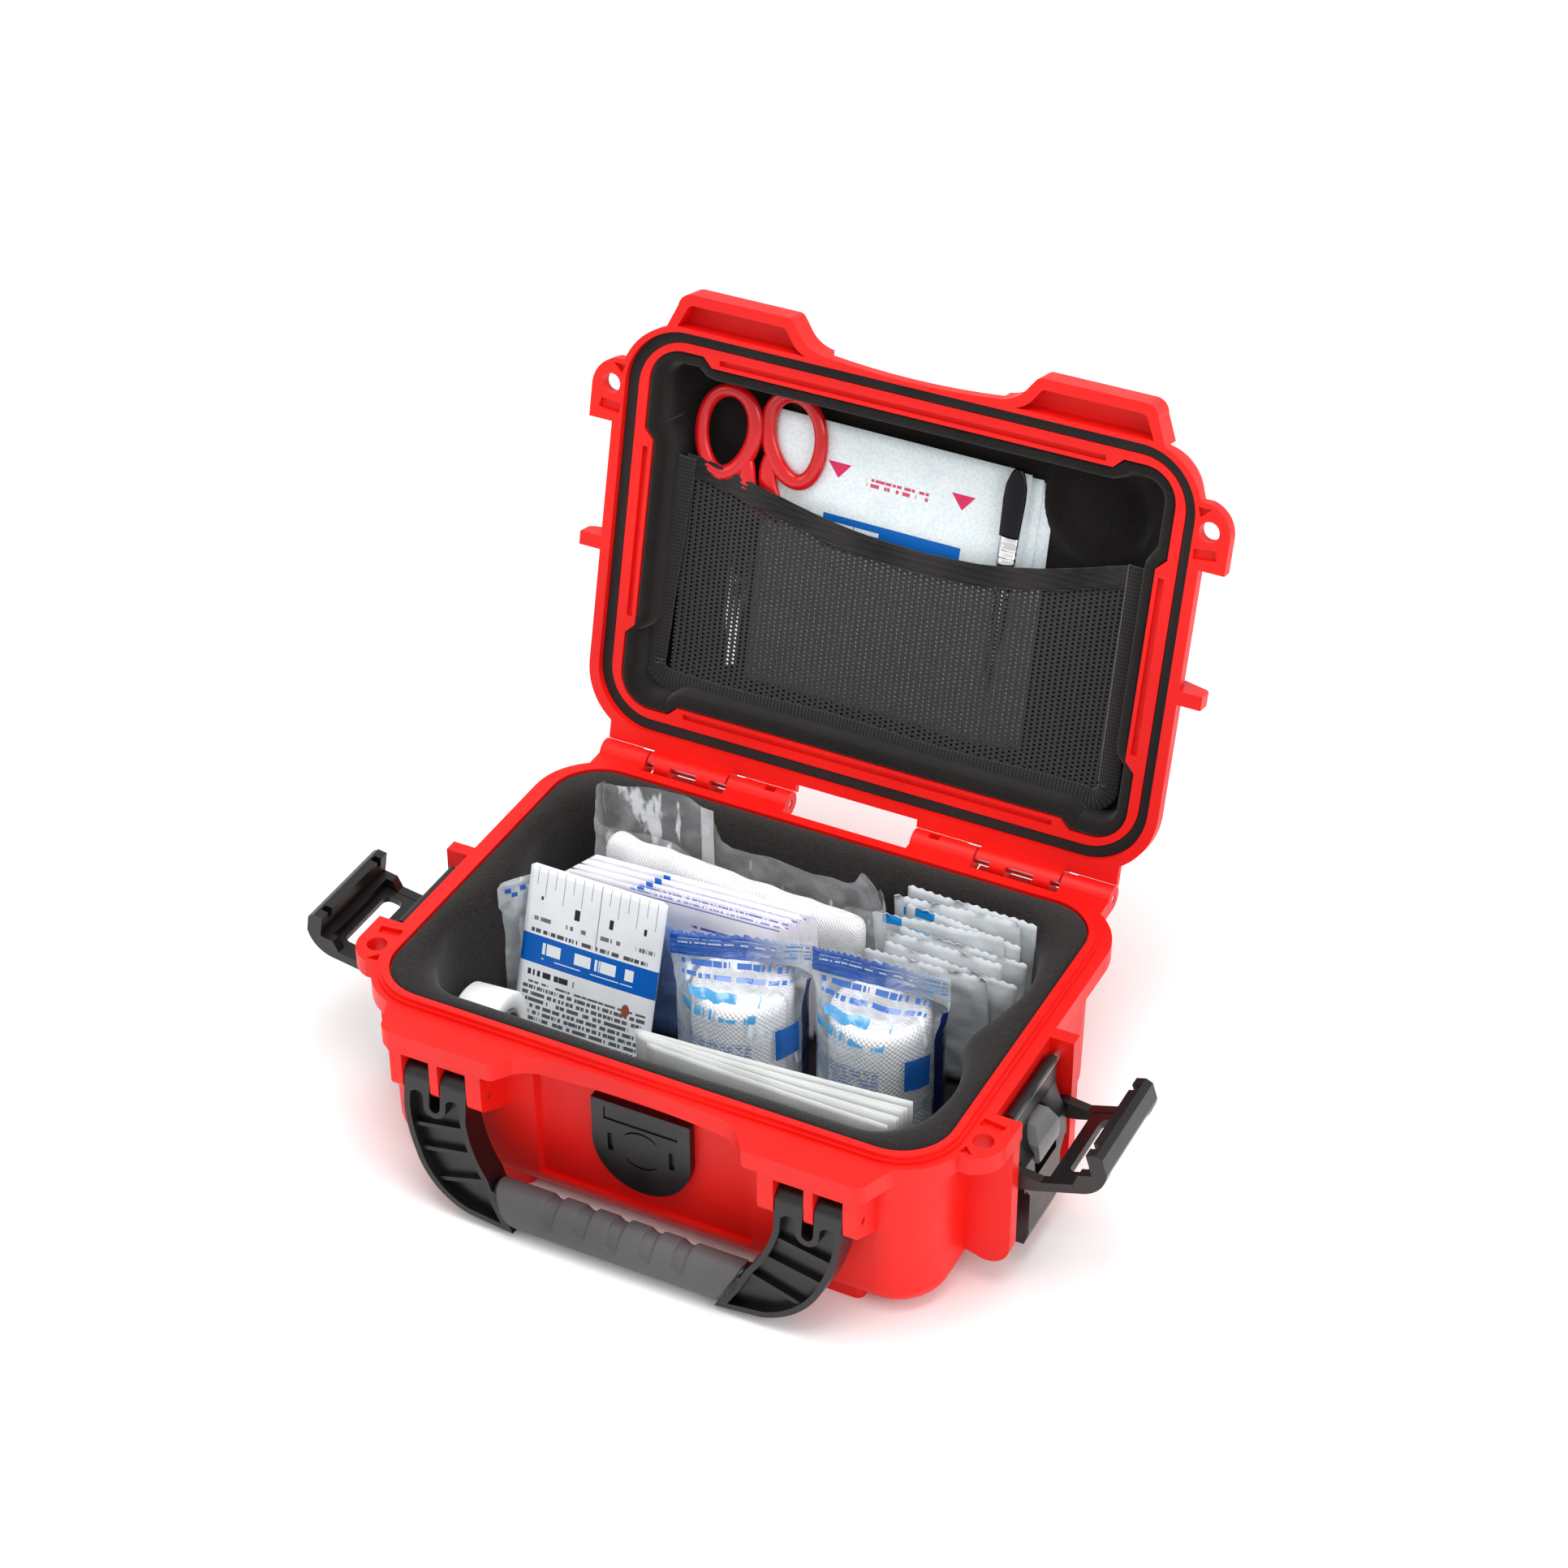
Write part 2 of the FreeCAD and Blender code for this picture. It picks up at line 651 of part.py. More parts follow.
def handle_half():
    """Front view of the right half of the handle, from the middle of the lower bar."""
    return [
        (42.9, 4.4), (41.4, 1.4), (60.0, 3.4), (83.0, 24.0, 33.0), (88.0, 42.0, 62.0),
        (88.0, 60.0), (77.5, 60.0), (77.5, 44.4), (75.25, 42.0, -2.4), (73.0, 44.4, -2.4),
        (73.0, 60.0), (62.2, 60.0), (62.2, 42.0), (52.6, 21.0, -48.0), (50.6, 16.6),
    ]


def handle_frame():
    """Moulded U-shaped frame: two arms of two prongs, joined by a bar inside the grip."""
    body = new_body("handle_frame")
    half = handle_half()
    sketch = new_sketch(body, "XZ_Plane", d.handle_pin_front)
    outline(sketch, half + mirrored(half))
    pad(body, sketch, d.handle_thickness, both=True)
    sketch = new_sketch(body, "YZ_Plane", 0.0)
    round_end = d.handle_thickness * 0.5
    pin_back = -d.handle_pin_front
    top = d.handle_pin_height
    outline(sketch, [(pin_back + round_end, top + 8.0), (pin_back - round_end, top + 8.0),
                     (pin_back - round_end, top), (pin_back, top + round_end, -round_end),
                     (pin_back + round_end, top, -round_end)])
    pocket(body, sketch, 200.0, both=True)
    handle_pockets(body)
    bar = d.handle_thickness * 0.5 - 1.5
    for side in (1, -1):
        sketch = new_sketch(body, "XZ_Plane", d.handle_pin_front + side * bar)
        outline(sketch, [(-40.2, 0.0), (40.2, 0.0), (51.6, 21.2), (51.6, 23.0), (-51.6, 23.0),
                         (-51.6, 21.2)])
        pocket(body, sketch, 4.0, back=(side > 0))
    sketch = new_sketch(body, "YZ_Plane", 0.0)
    circle(sketch, pin_back, top, d.handle_pin_radius + d.running_gap)
    pocket(body, sketch, 200.0, both=True)
    body.Placement = handle_turn()


def handle_pockets(body):
    """One hollow in the front and back of each arm, crossed by three lower ribs."""
    hollow = [(46.4, 4.0), (60.4, 5.8), (80.9, 25.2, 30.8), (85.6, 42.2, 60.0), (85.6, 47.5),
              (79.9, 47.5, 3.1), (79.9, 44.4), (75.25, 39.75, -4.65), (70.6, 44.4, -4.65),
              (70.6, 47.5), (64.6, 47.5, 3.3), (64.6, 42.0), (55.0, 20.4, -50.3), (50.6, 11.0)]
    ribs = (
        [(63.0, 36.6), (84.5, 33.0), (84.6, 34.6), (63.2, 38.2)],
        [(57.6, 27.6), (81.6, 23.4), (82.2, 25.0), (58.4, 29.2)],
        [(52.8, 18.0), (73.4, 12.6), (74.4, 14.0), (53.6, 19.6)],
    )
    depth = 4.2
    for side in (1, -1):
        face = d.handle_pin_front + side * d.handle_thickness * 0.5
        sketch = new_sketch(body, "XZ_Plane", face)
        outline(sketch, hollow)
        outline(sketch, mirrored(hollow))
        pocket(body, sketch, depth, back=(side < 0))
        sketch = new_sketch(body, "XZ_Plane", face - side * depth)
        for rib in ribs:
            outline(sketch, rib)
            outline(sketch, mirrored(rib))
        pad(body, sketch, depth - 1.6, back=(side < 0))


def handle_grip():
    """Soft oval sleeve over the lower bar, with slanted ends and finger grooves."""
    body = new_body("handle_grip")
    sketch = new_sketch(body, "YZ_Plane", 0.0)
    middle = -d.handle_pin_front
    outline(sketch, [(middle - 7.6, 10.0), (middle - 4.0, 1.6, 11.0), (middle + 4.0, 1.6),
                     (middle + 7.6, 10.0, 11.0), (middle + 4.0, 19.4, 11.0),
                     (middle - 4.0, 19.4), (middle - 7.6, 10.0, 11.0)][1:])
    pad(body, sketch, 104.0, both=True)
    sketch = new_sketch(body, "XZ_Plane", d.handle_pin_front)
    for side in (1, -1):
        corners = [(40.0, 0.0), (60.0, 0.0), (60.0, 21.0), (51.4, 21.0)]
        outline(sketch, corners if side > 0 else mirrored(corners))
    pocket(body, sketch, 40.0, both=True)
    sketch = new_sketch(body, "YZ_Plane", 0.0)
    bar = d.handle_thickness * 0.5 - 1.3
    outline(sketch, box_corners(middle - bar, middle + bar, 4.0, 17.0))
    pocket(body, sketch, 120.0, both=True)
    sketch = new_sketch(body, "XZ_Plane", d.handle_pin_front + 10.0)
    for number in range(5):
        left = as_size(-30.0 + 13.4 * number)
        outline(sketch, rounded_corners(left, left + 5.4, as_size(9.0), as_size(21.0),
                                        as_size(2.4)))
    pocket(body, sketch, 4.2)
    body.Placement = handle_turn()


def handle_pins():
    length = DIMENSIONS["bracket_outer"] - DIMENSIONS["bracket_inner"] - 2.0
    for name, start in (("left", 1.0 - DIMENSIONS["bracket_outer"]),
                        ("right", 1.0 + DIMENSIONS["bracket_inner"])):
        cylinder("handle_pin_" + name, d.handle_pin_radius, length,
                 Vector(start, -DIMENSIONS["handle_pin_front"],
                        DIMENSIONS["handle_pin_height"]), Vector(1, 0, 0))


# ---------------------------------------------------------------- latches

def bay_middle():
    return (d.bay_back - d.bay_front) * 0.5


def side_corners(corners, side):
    return corners if side > 0 else mirrored(corners)


def latch_lever(name, side):
    """Pull lever: a curved plate around its pin, a barrel for the claw pin and a tongue."""
    body = new_body("latch_lever_" + name)
    pin = (d.lever_pin_across, d.lever_pin_height)
    claw = (d.claw_pin_across, d.claw_pin_height)
    curl = 3.1
    profile = [
        (pin[0] - curl, pin[1] - 2.5), (pin[0] - curl, pin[1]), (pin[0], pin[1] + curl, -curl),
        (pin[0] + curl - 1.6, pin[1], -curl), (pin[0] + curl - 1.6, 60.0), (130.4, 49.0, 26.0),
        (131.0, 38.0), (131.0, 14.0), (129.4, 9.0), (124.0, 9.0), (122.4, 12.0), (122.4, 30.0),
        (124.0, 40.0), (claw[0] - 3.6, claw[1]), (122.6, 58.0),
    ]
    profile[3] = (pin[0] + 1.5, pin[1] + 2.71, -curl)
    sketch = new_sketch(body, "XZ_Plane", -bay_middle())
    outline(sketch, side_corners(profile, side))
    pad(body, sketch, d.lever_half_width * 2.0, both=True)
    sketch = new_sketch(body, "YZ_Plane", side * 126.0)
    middle = bay_middle()
    for edge in (1, -1):
        inner = middle + edge * d.tongue_half_width
        outer = middle + edge * 30.0
        outline(sketch, [(inner, 0.0), (outer, 0.0), (outer, 38.0), (middle + edge * 17.0, 38.0),
                         (inner, 33.0)])
    pocket(body, sketch, 40.0, both=True)
    sketch = new_sketch(body, "YZ_Plane", side * 126.0)
    outline(sketch, [(middle - 9.5, 38.0), (middle + 9.5, 38.0), (middle + 9.5, 52.0),
                     (middle + 5.5, 60.5, 14.0), (middle - 5.5, 60.5, 8.0),
                     (middle - 9.5, 52.0, 14.0)])
    pocket(body, sketch, 40.0, both=True)
    for spot, gap in ((pin, d.running_gap), (claw, d.fixed_gap)):
        sketch = new_sketch(body, "XZ_Plane", -bay_middle())
        circle(sketch, side * spot[0], spot[1], d.latch_pin_radius + gap)
        pocket(body, sketch, 60.0, both=True)


def claw_turn(side):
    spot = Vector(side * DIMENSIONS["claw_pin_across"], 0, DIMENSIONS["claw_pin_height"])
    swing = DIMENSIONS["claw_swing"] if side > 0 else DIMENSIONS["claw_swing_left"]
    return turn(spot, Vector(0, side, 0), swing)


def latch_claw(name, side):
    """Claw frame, built upright as when latched: two arms, a web and a hooked crossbar."""
    body = new_body("latch_claw_" + name)
    x = d.claw_pin_across
    z = d.claw_pin_height
    reach = z + d.claw_reach
    under = z + d.hook_inner
    hook = [(x - 10.5, reach), (x - d.hook_depth, reach - 2.2), (x - d.hook_depth, under),
            (x - 3.5, under)]
    arm = [(x - 3.5, z), (x + 3.5, z, 3.6), (x + 4.4, z + 8.0), (x + 4.4, z + 29.0),
           (x - 4.0, reach, 12.6)] + hook + [
               (x - 3.5, under - 5.5), (x + 0.6, under - 8.5), (x + 0.6, z + 13.0),
               (x - 3.5, z + 4.0)]
    bar = [(x - 3.5, under - 3.0), (x + 3.4, under - 3.0), (x - 4.0, reach, 13.0)] + hook
    half = d.bay_back - d.claw_arm - 0.3
    front = -d.bay_front + 0.3
    for start in (front + d.claw_arm, half + d.claw_arm):
        sketch = new_sketch(body, "XZ_Plane", -start)
        outline(sketch, side_corners(arm, side))
        pad(body, sketch, d.claw_arm)
    sketch = new_sketch(body, "XZ_Plane", -half - 1.0)
    outline(sketch, side_corners(bar, side))
    pad(body, sketch, half - front - d.claw_arm + 2.0)
    sketch = new_sketch(body, "YZ_Plane", side * (x + 0.8))
    outline(sketch, box_corners(front + d.claw_arm - 1.0, half + 1.0, z + 15.0, z + 33.0))
    pad(body, sketch, 2.6, back=(side < 0))
    claw_windows(body, side)
    sketch = new_sketch(body, "XZ_Plane", 0.0)
    circle(sketch, side * x, z, d.latch_pin_radius + d.running_gap)
    pocket(body, sketch, 120.0, both=True)
    body.Placement = claw_turn(side)


def claw_windows(body, side):
    """Long slot under the crossbar, and two hook notches."""
    z = d.claw_pin_height
    middle = bay_middle()
    sketch = new_sketch(body, "YZ_Plane", side * d.claw_pin_across)
    outline(sketch, rounded_corners(middle - 15.5, middle + 15.5, z + 20.5, z + 28.4,
                                    as_size(3.0)))
    pocket(body, sketch, 10.0, back=(side > 0))
    sketch = new_sketch(body, "XY_Plane", z + d.hook_inner - 0.5)
    for edge in (1, -1):
        start = middle + edge * 19.0
        x = d.claw_pin_across
        low, high = (start, start + 3.0) if edge < 0 else (start - 3.0, start)
        corners = box_corners(x - 14.0, x - 8.5, low, high)
        outline(sketch, corners if side > 0 else mirrored(corners))
    pocket(body, sketch, 3.5, back=True)


def latch_slide(name, side):
    """Sliding lock in the lever's window: a guide block with a tongue over the claw pin."""
    body = new_body("latch_slide_" + name)
    middle = bay_middle()
    profile = [(124.5, 58.6), (124.5, 52.6), (128.2, 51.6), (128.2, 41.2), (130.2, 41.2),
               (132.2, 45.0), (131.4, 53.0, 26.0), (128.6, 58.6)]
    sketch = new_sketch(body, "XZ_Plane", -bay_middle())
    outline(sketch, side_corners(profile, side))
    pad(body, sketch, 18.2, both=True)
    sketch = new_sketch(body, "YZ_Plane", side * 126.0)
    for edge in (1, -1):
        outline(sketch, [(middle + edge * 5.4, 59.4), (middle + edge * 9.0, 52.5),
                         (middle + edge * 12.0, 52.5), (middle + edge * 12.0, 59.4)])
        outline(sketch, [(middle + edge * 9.3, 47.0), (middle + edge * 5.0, 40.8),
                         (middle + edge * 12.0, 40.8), (middle + edge * 12.0, 47.0)])
    pocket(body, sketch, 20.0, both=True)


def latch_pins(name, side):
    front = -DIMENSIONS["bay_front"] - 4.0
    cylinder("lever_pin_" + name, d.latch_pin_radius,
             DIMENSIONS["bay_front"] + DIMENSIONS["bay_back"] + 8.0,
             Vector(side * DIMENSIONS["lever_pin_across"], front,
                    DIMENSIONS["lever_pin_height"]), Vector(0, 1, 0))
    cylinder("claw_pin_" + name, d.latch_pin_radius,
             DIMENSIONS["bay_front"] + DIMENSIONS["bay_back"] - 1.0,
             Vector(side * DIMENSIONS["claw_pin_across"], 0.5 - DIMENSIONS["bay_front"],
                    DIMENSIONS["claw_pin_height"]), Vector(0, 1, 0))


# ---------------------------------------------------------------- pressure valve

def valve_cover():
    body = new_body("valve_cover")
    wall = d.case_half_depth - d.front_recess
    sketch = new_sketch(body, "XZ_Plane", wall + 0.05)
    outline(sketch, [(-20.0, 58.5), (-20.0, 40.0), (0.0, 20.0, 20.0), (20.0, 40.0, 20.0),
                     (20.0, 58.5)])
    pad(body, sketch, 3.6)
    sketch = new_sketch(body, "XZ_Plane", wall + 0.05)
    circle(sketch, 0.0, 40.0, 8.4)
    pocket(body, sketch, 1.3, back=True)
    sketch = new_sketch(body, "XZ_Plane", wall + 3.65)
    outline(sketch, [(-7.0, 44.6), (7.0, 44.6, -9.5), (6.0, 46.2), (-6.0, 46.2, 9.0)])
    outline(sketch, [(-6.0, 33.8, -9.0), (-7.0, 35.4), (7.0, 35.4, 9.5), (6.0, 33.8)])
    outline(sketch, box_corners(-13.6, -11.4, 36.0, 44.0))
    outline(sketch, box_corners(11.4, 13.6, 36.0, 44.0))
    pocket(body, sketch, 1.4)
    sketch = new_sketch(body, "XZ_Plane", wall + 3.65)
    outline(sketch, box_corners(-15.0, 15.0, 50.0, 55.6))
    pocket(body, sketch, 0.6)


def valve_inside():
    wall = DIMENSIONS["case_half_depth"] - DIMENSIONS["front_recess"]
    cylinder("valve_body", 9.0, 2.8, Vector(0, 0.1 - wall, 40.0), Vector(0, 1, 0))
    cylinder("valve_membrane", 7.0, 0.8, Vector(0, -wall - 1.0, 40.0), Vector(0, 1, 0))


# ---------------------------------------------------------------- liners

def base_foam_liner():
    """Moulded foam tray with a rounded well and finger scoops."""
    body = new_body("base_foam_liner")
    wall = d.wall
    gap = 0.25
    sketch = new_sketch(body, "XY_Plane", d.rim_height)
    outline(sketch, rounded_corners(wall + gap - d.case_half_length,
                                    d.case_half_length - wall - gap,
                                    d.front_recess + wall + gap - d.case_half_depth,
                                    d.case_half_depth - wall - gap,
                                    d.case_corner - wall - gap))
    pad(body, sketch, d.rim_height - d.foot_height - wall - gap, back=True,
        taper=-d.draft)
    sketch = new_sketch(body, "XY_Plane", d.rim_height + 0.05)
    outline(sketch, centred_round(d.ridge_half_length - 0.15, d.ridge_half_depth - 0.15,
                                  d.ridge_corner - 0.15))
    pad(body, sketch, d.foam_top - d.rim_height - 0.05)
    sketch = new_sketch(body, "XY_Plane", d.rim_height - 2.0)
    outline(sketch, rounded_corners(as_size(-108.0), as_size(108.0), as_size(-69.0),
                                    as_size(72.0), as_size(16.0)))
    pad(body, sketch, 2.5)
    sketch = new_sketch(body, "XY_Plane", d.foam_top)
    outline(sketch, rounded_corners(as_size(-99.0), as_size(97.0), as_size(-67.0),
                                    as_size(64.0), as_size(10.0)))
    pocket(body, sketch, d.foam_top - d.foam_floor, taper=-1.0)
    sketch = new_sketch(body, "XY_Plane", d.foam_top)
    outline(sketch, rounded_corners(as_size(80.0), as_size(104.0), as_size(-34.0),
                                    as_size(2.0), as_size(11.0)))
    pocket(body, sketch, 40.0)


def lid_liner():
    """Moulded liner shell inside the lid."""
    body = new_body("lid_liner")
    face = d.foam_top + 0.3
    roof = d.rim_height + d.lid_gap + d.lid_height - d.wall - 0.2 - face
    for shrink, height in ((0.4, roof), (0.4 + d.liner_thickness, roof - d.liner_thickness)):
        sketch = new_sketch(body, "XY_Plane", face)
        outline(sketch, rounded_corners(shrink - 104.2, 104.2 - shrink, shrink - 70.0,
                                        70.0 - shrink, 14.0 - as_size(shrink)))
        if height is roof:
            pad(body, sketch, height, taper=-d.lid_draft)
        else:
            pocket(body, sketch, height, back=True, taper=-d.lid_draft)
    body.Placement = lid_placement()


# ---------------------------------------------------------------- lid pocket and contents

POCKET_FLOOR = 90.5


def lid_plate(label, corners, low, high):
    """A flat piece lying in the lid, between two heights of the closed lid."""
    body = new_body(label)
    sketch = new_sketch(body, "XY_Plane", low)
    outline(sketch, corners)
    pad(body, sketch, high - low)
    body.Placement = lid_placement()
    return body


def pocket_pieces():
    floor = POCKET_FLOOR
    lid_plate("pocket_mesh",
              [(-90.0, -14.0), (90.0, -14.0, 480.0), (90.0, 60.0), (-90.0, 60.0)],
              floor, floor + 1.0)
    lid_plate("pocket_band",
              [(-90.0, -24.0), (90.0, -24.0, 480.0), (90.0, -14.3), (-90.0, -14.3, -480.0)],
              floor - 0.4, floor + 1.6)
    body = new_body("pocket_binding")
    sketch = new_sketch(body, "XY_Plane", floor - 0.4)
    outline(sketch, [(-97.5, -24.0), (-90.3, -24.0), (-90.3, 60.3), (90.3, 60.3),
                     (90.3, -24.0), (97.5, -24.0), (97.5, 57.0), (89.5, 65.2, 8.2),
                     (-89.5, 65.2), (-97.5, 57.0, 8.2)])
    pad(body, sketch, 2.2)
    body.Placement = lid_placement()


def ring_corners(across, up, wide, tall):
    """An oval finger loop as four arcs."""
    half = wide * 0.5
    rise = tall * 0.5
    bend = (half * half + rise * rise) / (2.0 * half) * 1.02
    return [(across + half, up, bend), (across, up + rise, bend),
            (across - half, up, bend), (across, up - rise, bend)]


def scissors_half(name, side, low, high):
    """A finger loop with its shank, moulded on to a blade."""
    middle = -69.0
    handle = new_body("scissors_handle_" + name)
    sketch = new_sketch(handle, "XY_Plane", low)
    outline(sketch, ring_corners(middle + side * 13.2, -40.0, 25.5, 38.0))
    outline(sketch, ring_corners(middle + side * 13.2, -40.0, 15.5, 28.0))
    pad(handle, sketch, high - low)
    sketch = new_sketch(handle, "XY_Plane", low)
    shank = [(middle + 2.0, -26.0), (middle + 12.0, -24.5), (middle + 6.4, 6.0),
             (middle + 0.4, 6.0)]
    if side < 0:
        shank = [(2.0 * middle - x, y) for x, y in reversed(shank)]
    outline(sketch, shank)
    pad(handle, sketch, high - low)
    handle.Placement = lid_placement()
    blade = new_body("scissors_blade_" + name)
    sketch = new_sketch(blade, "XY_Plane", low + 0.5 if side < 0 else low)
    edge = [(middle - 3.6, 6.2), (middle + 4.6, 6.2), (middle + 4.4, 22.0),
            (middle + 0.6, 52.0), (middle - 2.4, 52.0)]
    if side < 0:
        edge = [(2.0 * middle - x, y) for x, y in reversed(edge)]
    outline(sketch, edge)
    pad(blade, sketch, 1.5)
    sketch = new_sketch(blade, "XY_Plane", low - 1.0)
    circle(sketch, middle, 16.0, 2.05)
    pocket(blade, sketch, 12.0, back=True)
    blade.Placement = lid_placement()


def lid_contents():
    top = POCKET_FLOOR + 1.8
    scissors_half("left", -1, top, top + 2.3)
    scissors_half("right", 1, top + 2.5, top + 4.8)
    rivet = cylinder("scissors_rivet", 2.0, 4.6, Vector(0, 0, 0), Vector(0, 0, 1))
    rivet.Placement = lid_placement() * Placement(Vector(-69.0, 16.0, top + 0.2), Rotation())
    lid_plate("tweezers",
              [(37.4, 40.0), (43.8, 40.0), (44.6, 0.0), (43.0, -30.0), (41.0, -52.0),
               (39.6, -52.0), (37.6, -30.0), (36.6, 0.0)], top, top + 2.0)
    lean = (6.6, 4.4, 2.2, 0.0)
    for number, shift in enumerate(lean, start=1):
        level = top + 5.2 + 1.1 * (len(lean) - number)
        lid_plate("dressing_pouch_%d" % number,
                  [(-46.0 + shift, -50.0 + shift * 0.4), (52.0 + shift, -50.0 + shift * 0.4),
                   (52.0 + shift, 44.0), (-46.0 + shift, 44.0)], level, level + 0.9)


# ---------------------------------------------------------------- base contents

def standing_block(label, left, right, front, back, low, high, corner):
    """An upright pack with rounded upright edges."""
    body = new_body(label)
    sketch = new_sketch(body, "XY_Plane", low)
    outline(sketch, rounded_corners(as_size(left), as_size(right), as_size(front),
                                    as_size(back), as_size(corner)))
    pad(body, sketch, high - low)
    return body


def id_card():
    body = new_body("id_card")
    sketch = new_sketch(body, "XZ_Plane", 0.0)
    outline(sketch, rounded_corners(as_size(0.0), d.card_width, as_size(0.0), d.card_length,
                                    as_size(1.5)))
    pad(body, sketch, d.card_thickness)
    body.Placement = Placement(Vector(-87.0, -24.9, 18.0),
                               Rotation(Vector(-1, 0, 0), DIMENSIONS["card_lean"]))


def tape_roll():
    ring = new_body("tape_roll")
    core = new_body("tape_core")
    for body, outer, inner in ((ring, d.tape_radius, d.tape_core_radius + 0.1),
                               (core, d.tape_core_radius, d.tape_core_radius - 1.4)):
        sketch = new_sketch(body, "YZ_Plane", -93.2)
        for radius in (outer, inner):
            circle(sketch, -45.5, d.foam_floor + d.tape_radius + 0.3, radius)
        pad(body, sketch, d.tape_width)


def slanted(across, back, half_length, half_depth, angle):
    """Corners of a thin rectangle turned by an angle, seen from above."""
    along = Vector(math.cos(math.radians(angle)), math.sin(math.radians(angle)), 0)
    side = Vector(-along.y, along.x, 0)
    corners = []
    for length, depth in ((-1, -1), (1, -1), (1, 1), (-1, 1)):
        spot = along * (length * half_length) + side * (depth * half_depth)
        corners.append((across + spot.x, back + spot.y))
    return corners


def gauze(name, across, back, angle):
    """A gauze roll standing in its flattened wrapper, crimped flat above it."""
    floor = DIMENSIONS["foam_floor"] + 0.6
    roll = cylinder("gauze_roll_" + name, d.gauze_radius, d.gauze_length,
                    Vector(across, back, floor + 0.4), Vector(0, 0, 1))
    body = new_body("gauze_wrapper_" + name)
    wide = as_size(d.gauze_radius) + 1.0
    sketch = new_sketch(body, "XY_Plane", floor)
    circle(sketch, across, back, wide)
    circle(sketch, across, back, wide - 0.7)
    pad(body, sketch, d.gauze_length + 1.2)
    sketch = new_sketch(body, "XY_Plane", floor + d.gauze_length + 1.2)
    circle(sketch, across, back, wide)
    pad(body, sketch, 3.0, taper=-40.0)
    sketch = new_sketch(body, "XY_Plane", floor + d.gauze_length + 2.0)
    outline(sketch, slanted(across, back, 25.5, 0.9, angle))
    pad(body, sketch, 19.0)
    return roll


def base_contents():
    floor = DIMENSIONS["foam_floor"] + 0.5
    id_card()
    tape_roll()
    gauze("left", 4.5, -7.5, 18.0)
    gauze("right", 56.5, 1.5, 5.5)
    standing_block("bandage_strips", -70.0, 27.0, 14.5, 27.0, floor, 81.0, 2.0)
    standing_block("padded_bandage", -78.0, 38.0, 30.0, 47.0, floor + 0.8, 79.0, 7.0)
    bag = standing_block("bandage_bag", -82.0, 42.0, 27.6, 49.5, floor, 84.0, 9.0)
    sketch = new_sketch(bag, "XY_Plane", floor - 1.0)
    outline(sketch, rounded_corners(as_size(-80.6), as_size(40.6), as_size(29.0),
                                    as_size(48.1), as_size(7.6)))
    pocket(bag, sketch, 81.5 - floor, back=True)
    standing_block("foil_packs", 44.0, 92.0, 26.0, 57.0, floor, 80.0, 3.0)
    body = new_body("paper_packs")
    sketch = new_sketch(body, "XY_Plane", floor)
    outline(sketch, slanted(40.5, -56.6, 49.0, 3.5, 4.7))
    pad(body, sketch, 77.0 - floor)
    standing_block("blue_pack", -70.0, -20.0, 1.0, 10.0, floor, 72.0, 2.0)
    standing_block("small_bag", -96.0, -88.6, -15.0, 5.0, floor, 80.0, 2.0)


# ---------------------------------------------------------------- build and export

def build():
    fill_sheet()
    base_shell()
    lid_shell()
    lid_gasket()
    hinge_pins()
    handle_frame()
    handle_grip()
    handle_pins()
    for name, side in (("left", -1), ("right", 1)):
        latch_lever(name, side)
        latch_claw(name, side)
        latch_slide(name, side)
        latch_pins(name, side)
    valve_cover()
    valve_inside()
    base_foam_liner()
    lid_liner()
    pocket_pieces()
    lid_contents()
    base_contents()
    doc.recompute()


def check():
    for item in doc.Objects:
        assert not {"Invalid", "Error"} & set(item.State), item.Label + " failed"
    for part in PARTS:
        shape = part.Shape
        assert not shape.isNull() and shape.isValid(), part.Label + " has no valid shape"
        assert shape.Volume > 0, part.Label + " is empty"
        assert len(shape.Solids) >= 1, part.Label + " has no solid"


def export():
    os.makedirs("parts", exist_ok=True)
    for part in PARTS:
        part.Shape.exportStep("parts/%s.step" % part.Label)


build()
check()
export()
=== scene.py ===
import json
import math

import bmesh
import bpy
import numpy as np
from mathutils import Matrix, Vector, noise


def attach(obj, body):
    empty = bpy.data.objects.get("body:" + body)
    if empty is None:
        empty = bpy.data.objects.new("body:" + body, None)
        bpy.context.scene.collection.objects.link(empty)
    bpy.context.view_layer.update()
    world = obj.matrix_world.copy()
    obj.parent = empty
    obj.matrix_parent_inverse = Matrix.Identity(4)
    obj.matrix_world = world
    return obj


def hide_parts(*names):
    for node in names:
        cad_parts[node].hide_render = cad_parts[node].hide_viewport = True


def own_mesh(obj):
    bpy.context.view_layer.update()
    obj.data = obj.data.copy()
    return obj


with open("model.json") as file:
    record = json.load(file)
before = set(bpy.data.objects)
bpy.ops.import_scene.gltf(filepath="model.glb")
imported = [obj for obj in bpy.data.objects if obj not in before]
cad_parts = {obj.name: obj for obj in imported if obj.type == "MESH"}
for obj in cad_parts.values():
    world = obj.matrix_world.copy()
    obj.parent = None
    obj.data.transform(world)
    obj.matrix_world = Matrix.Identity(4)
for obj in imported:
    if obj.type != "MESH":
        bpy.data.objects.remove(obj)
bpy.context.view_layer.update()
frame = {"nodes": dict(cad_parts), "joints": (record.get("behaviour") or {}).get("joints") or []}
NODES = frame["nodes"]
JOINTS = {joint["name"]: joint for joint in frame["joints"]}

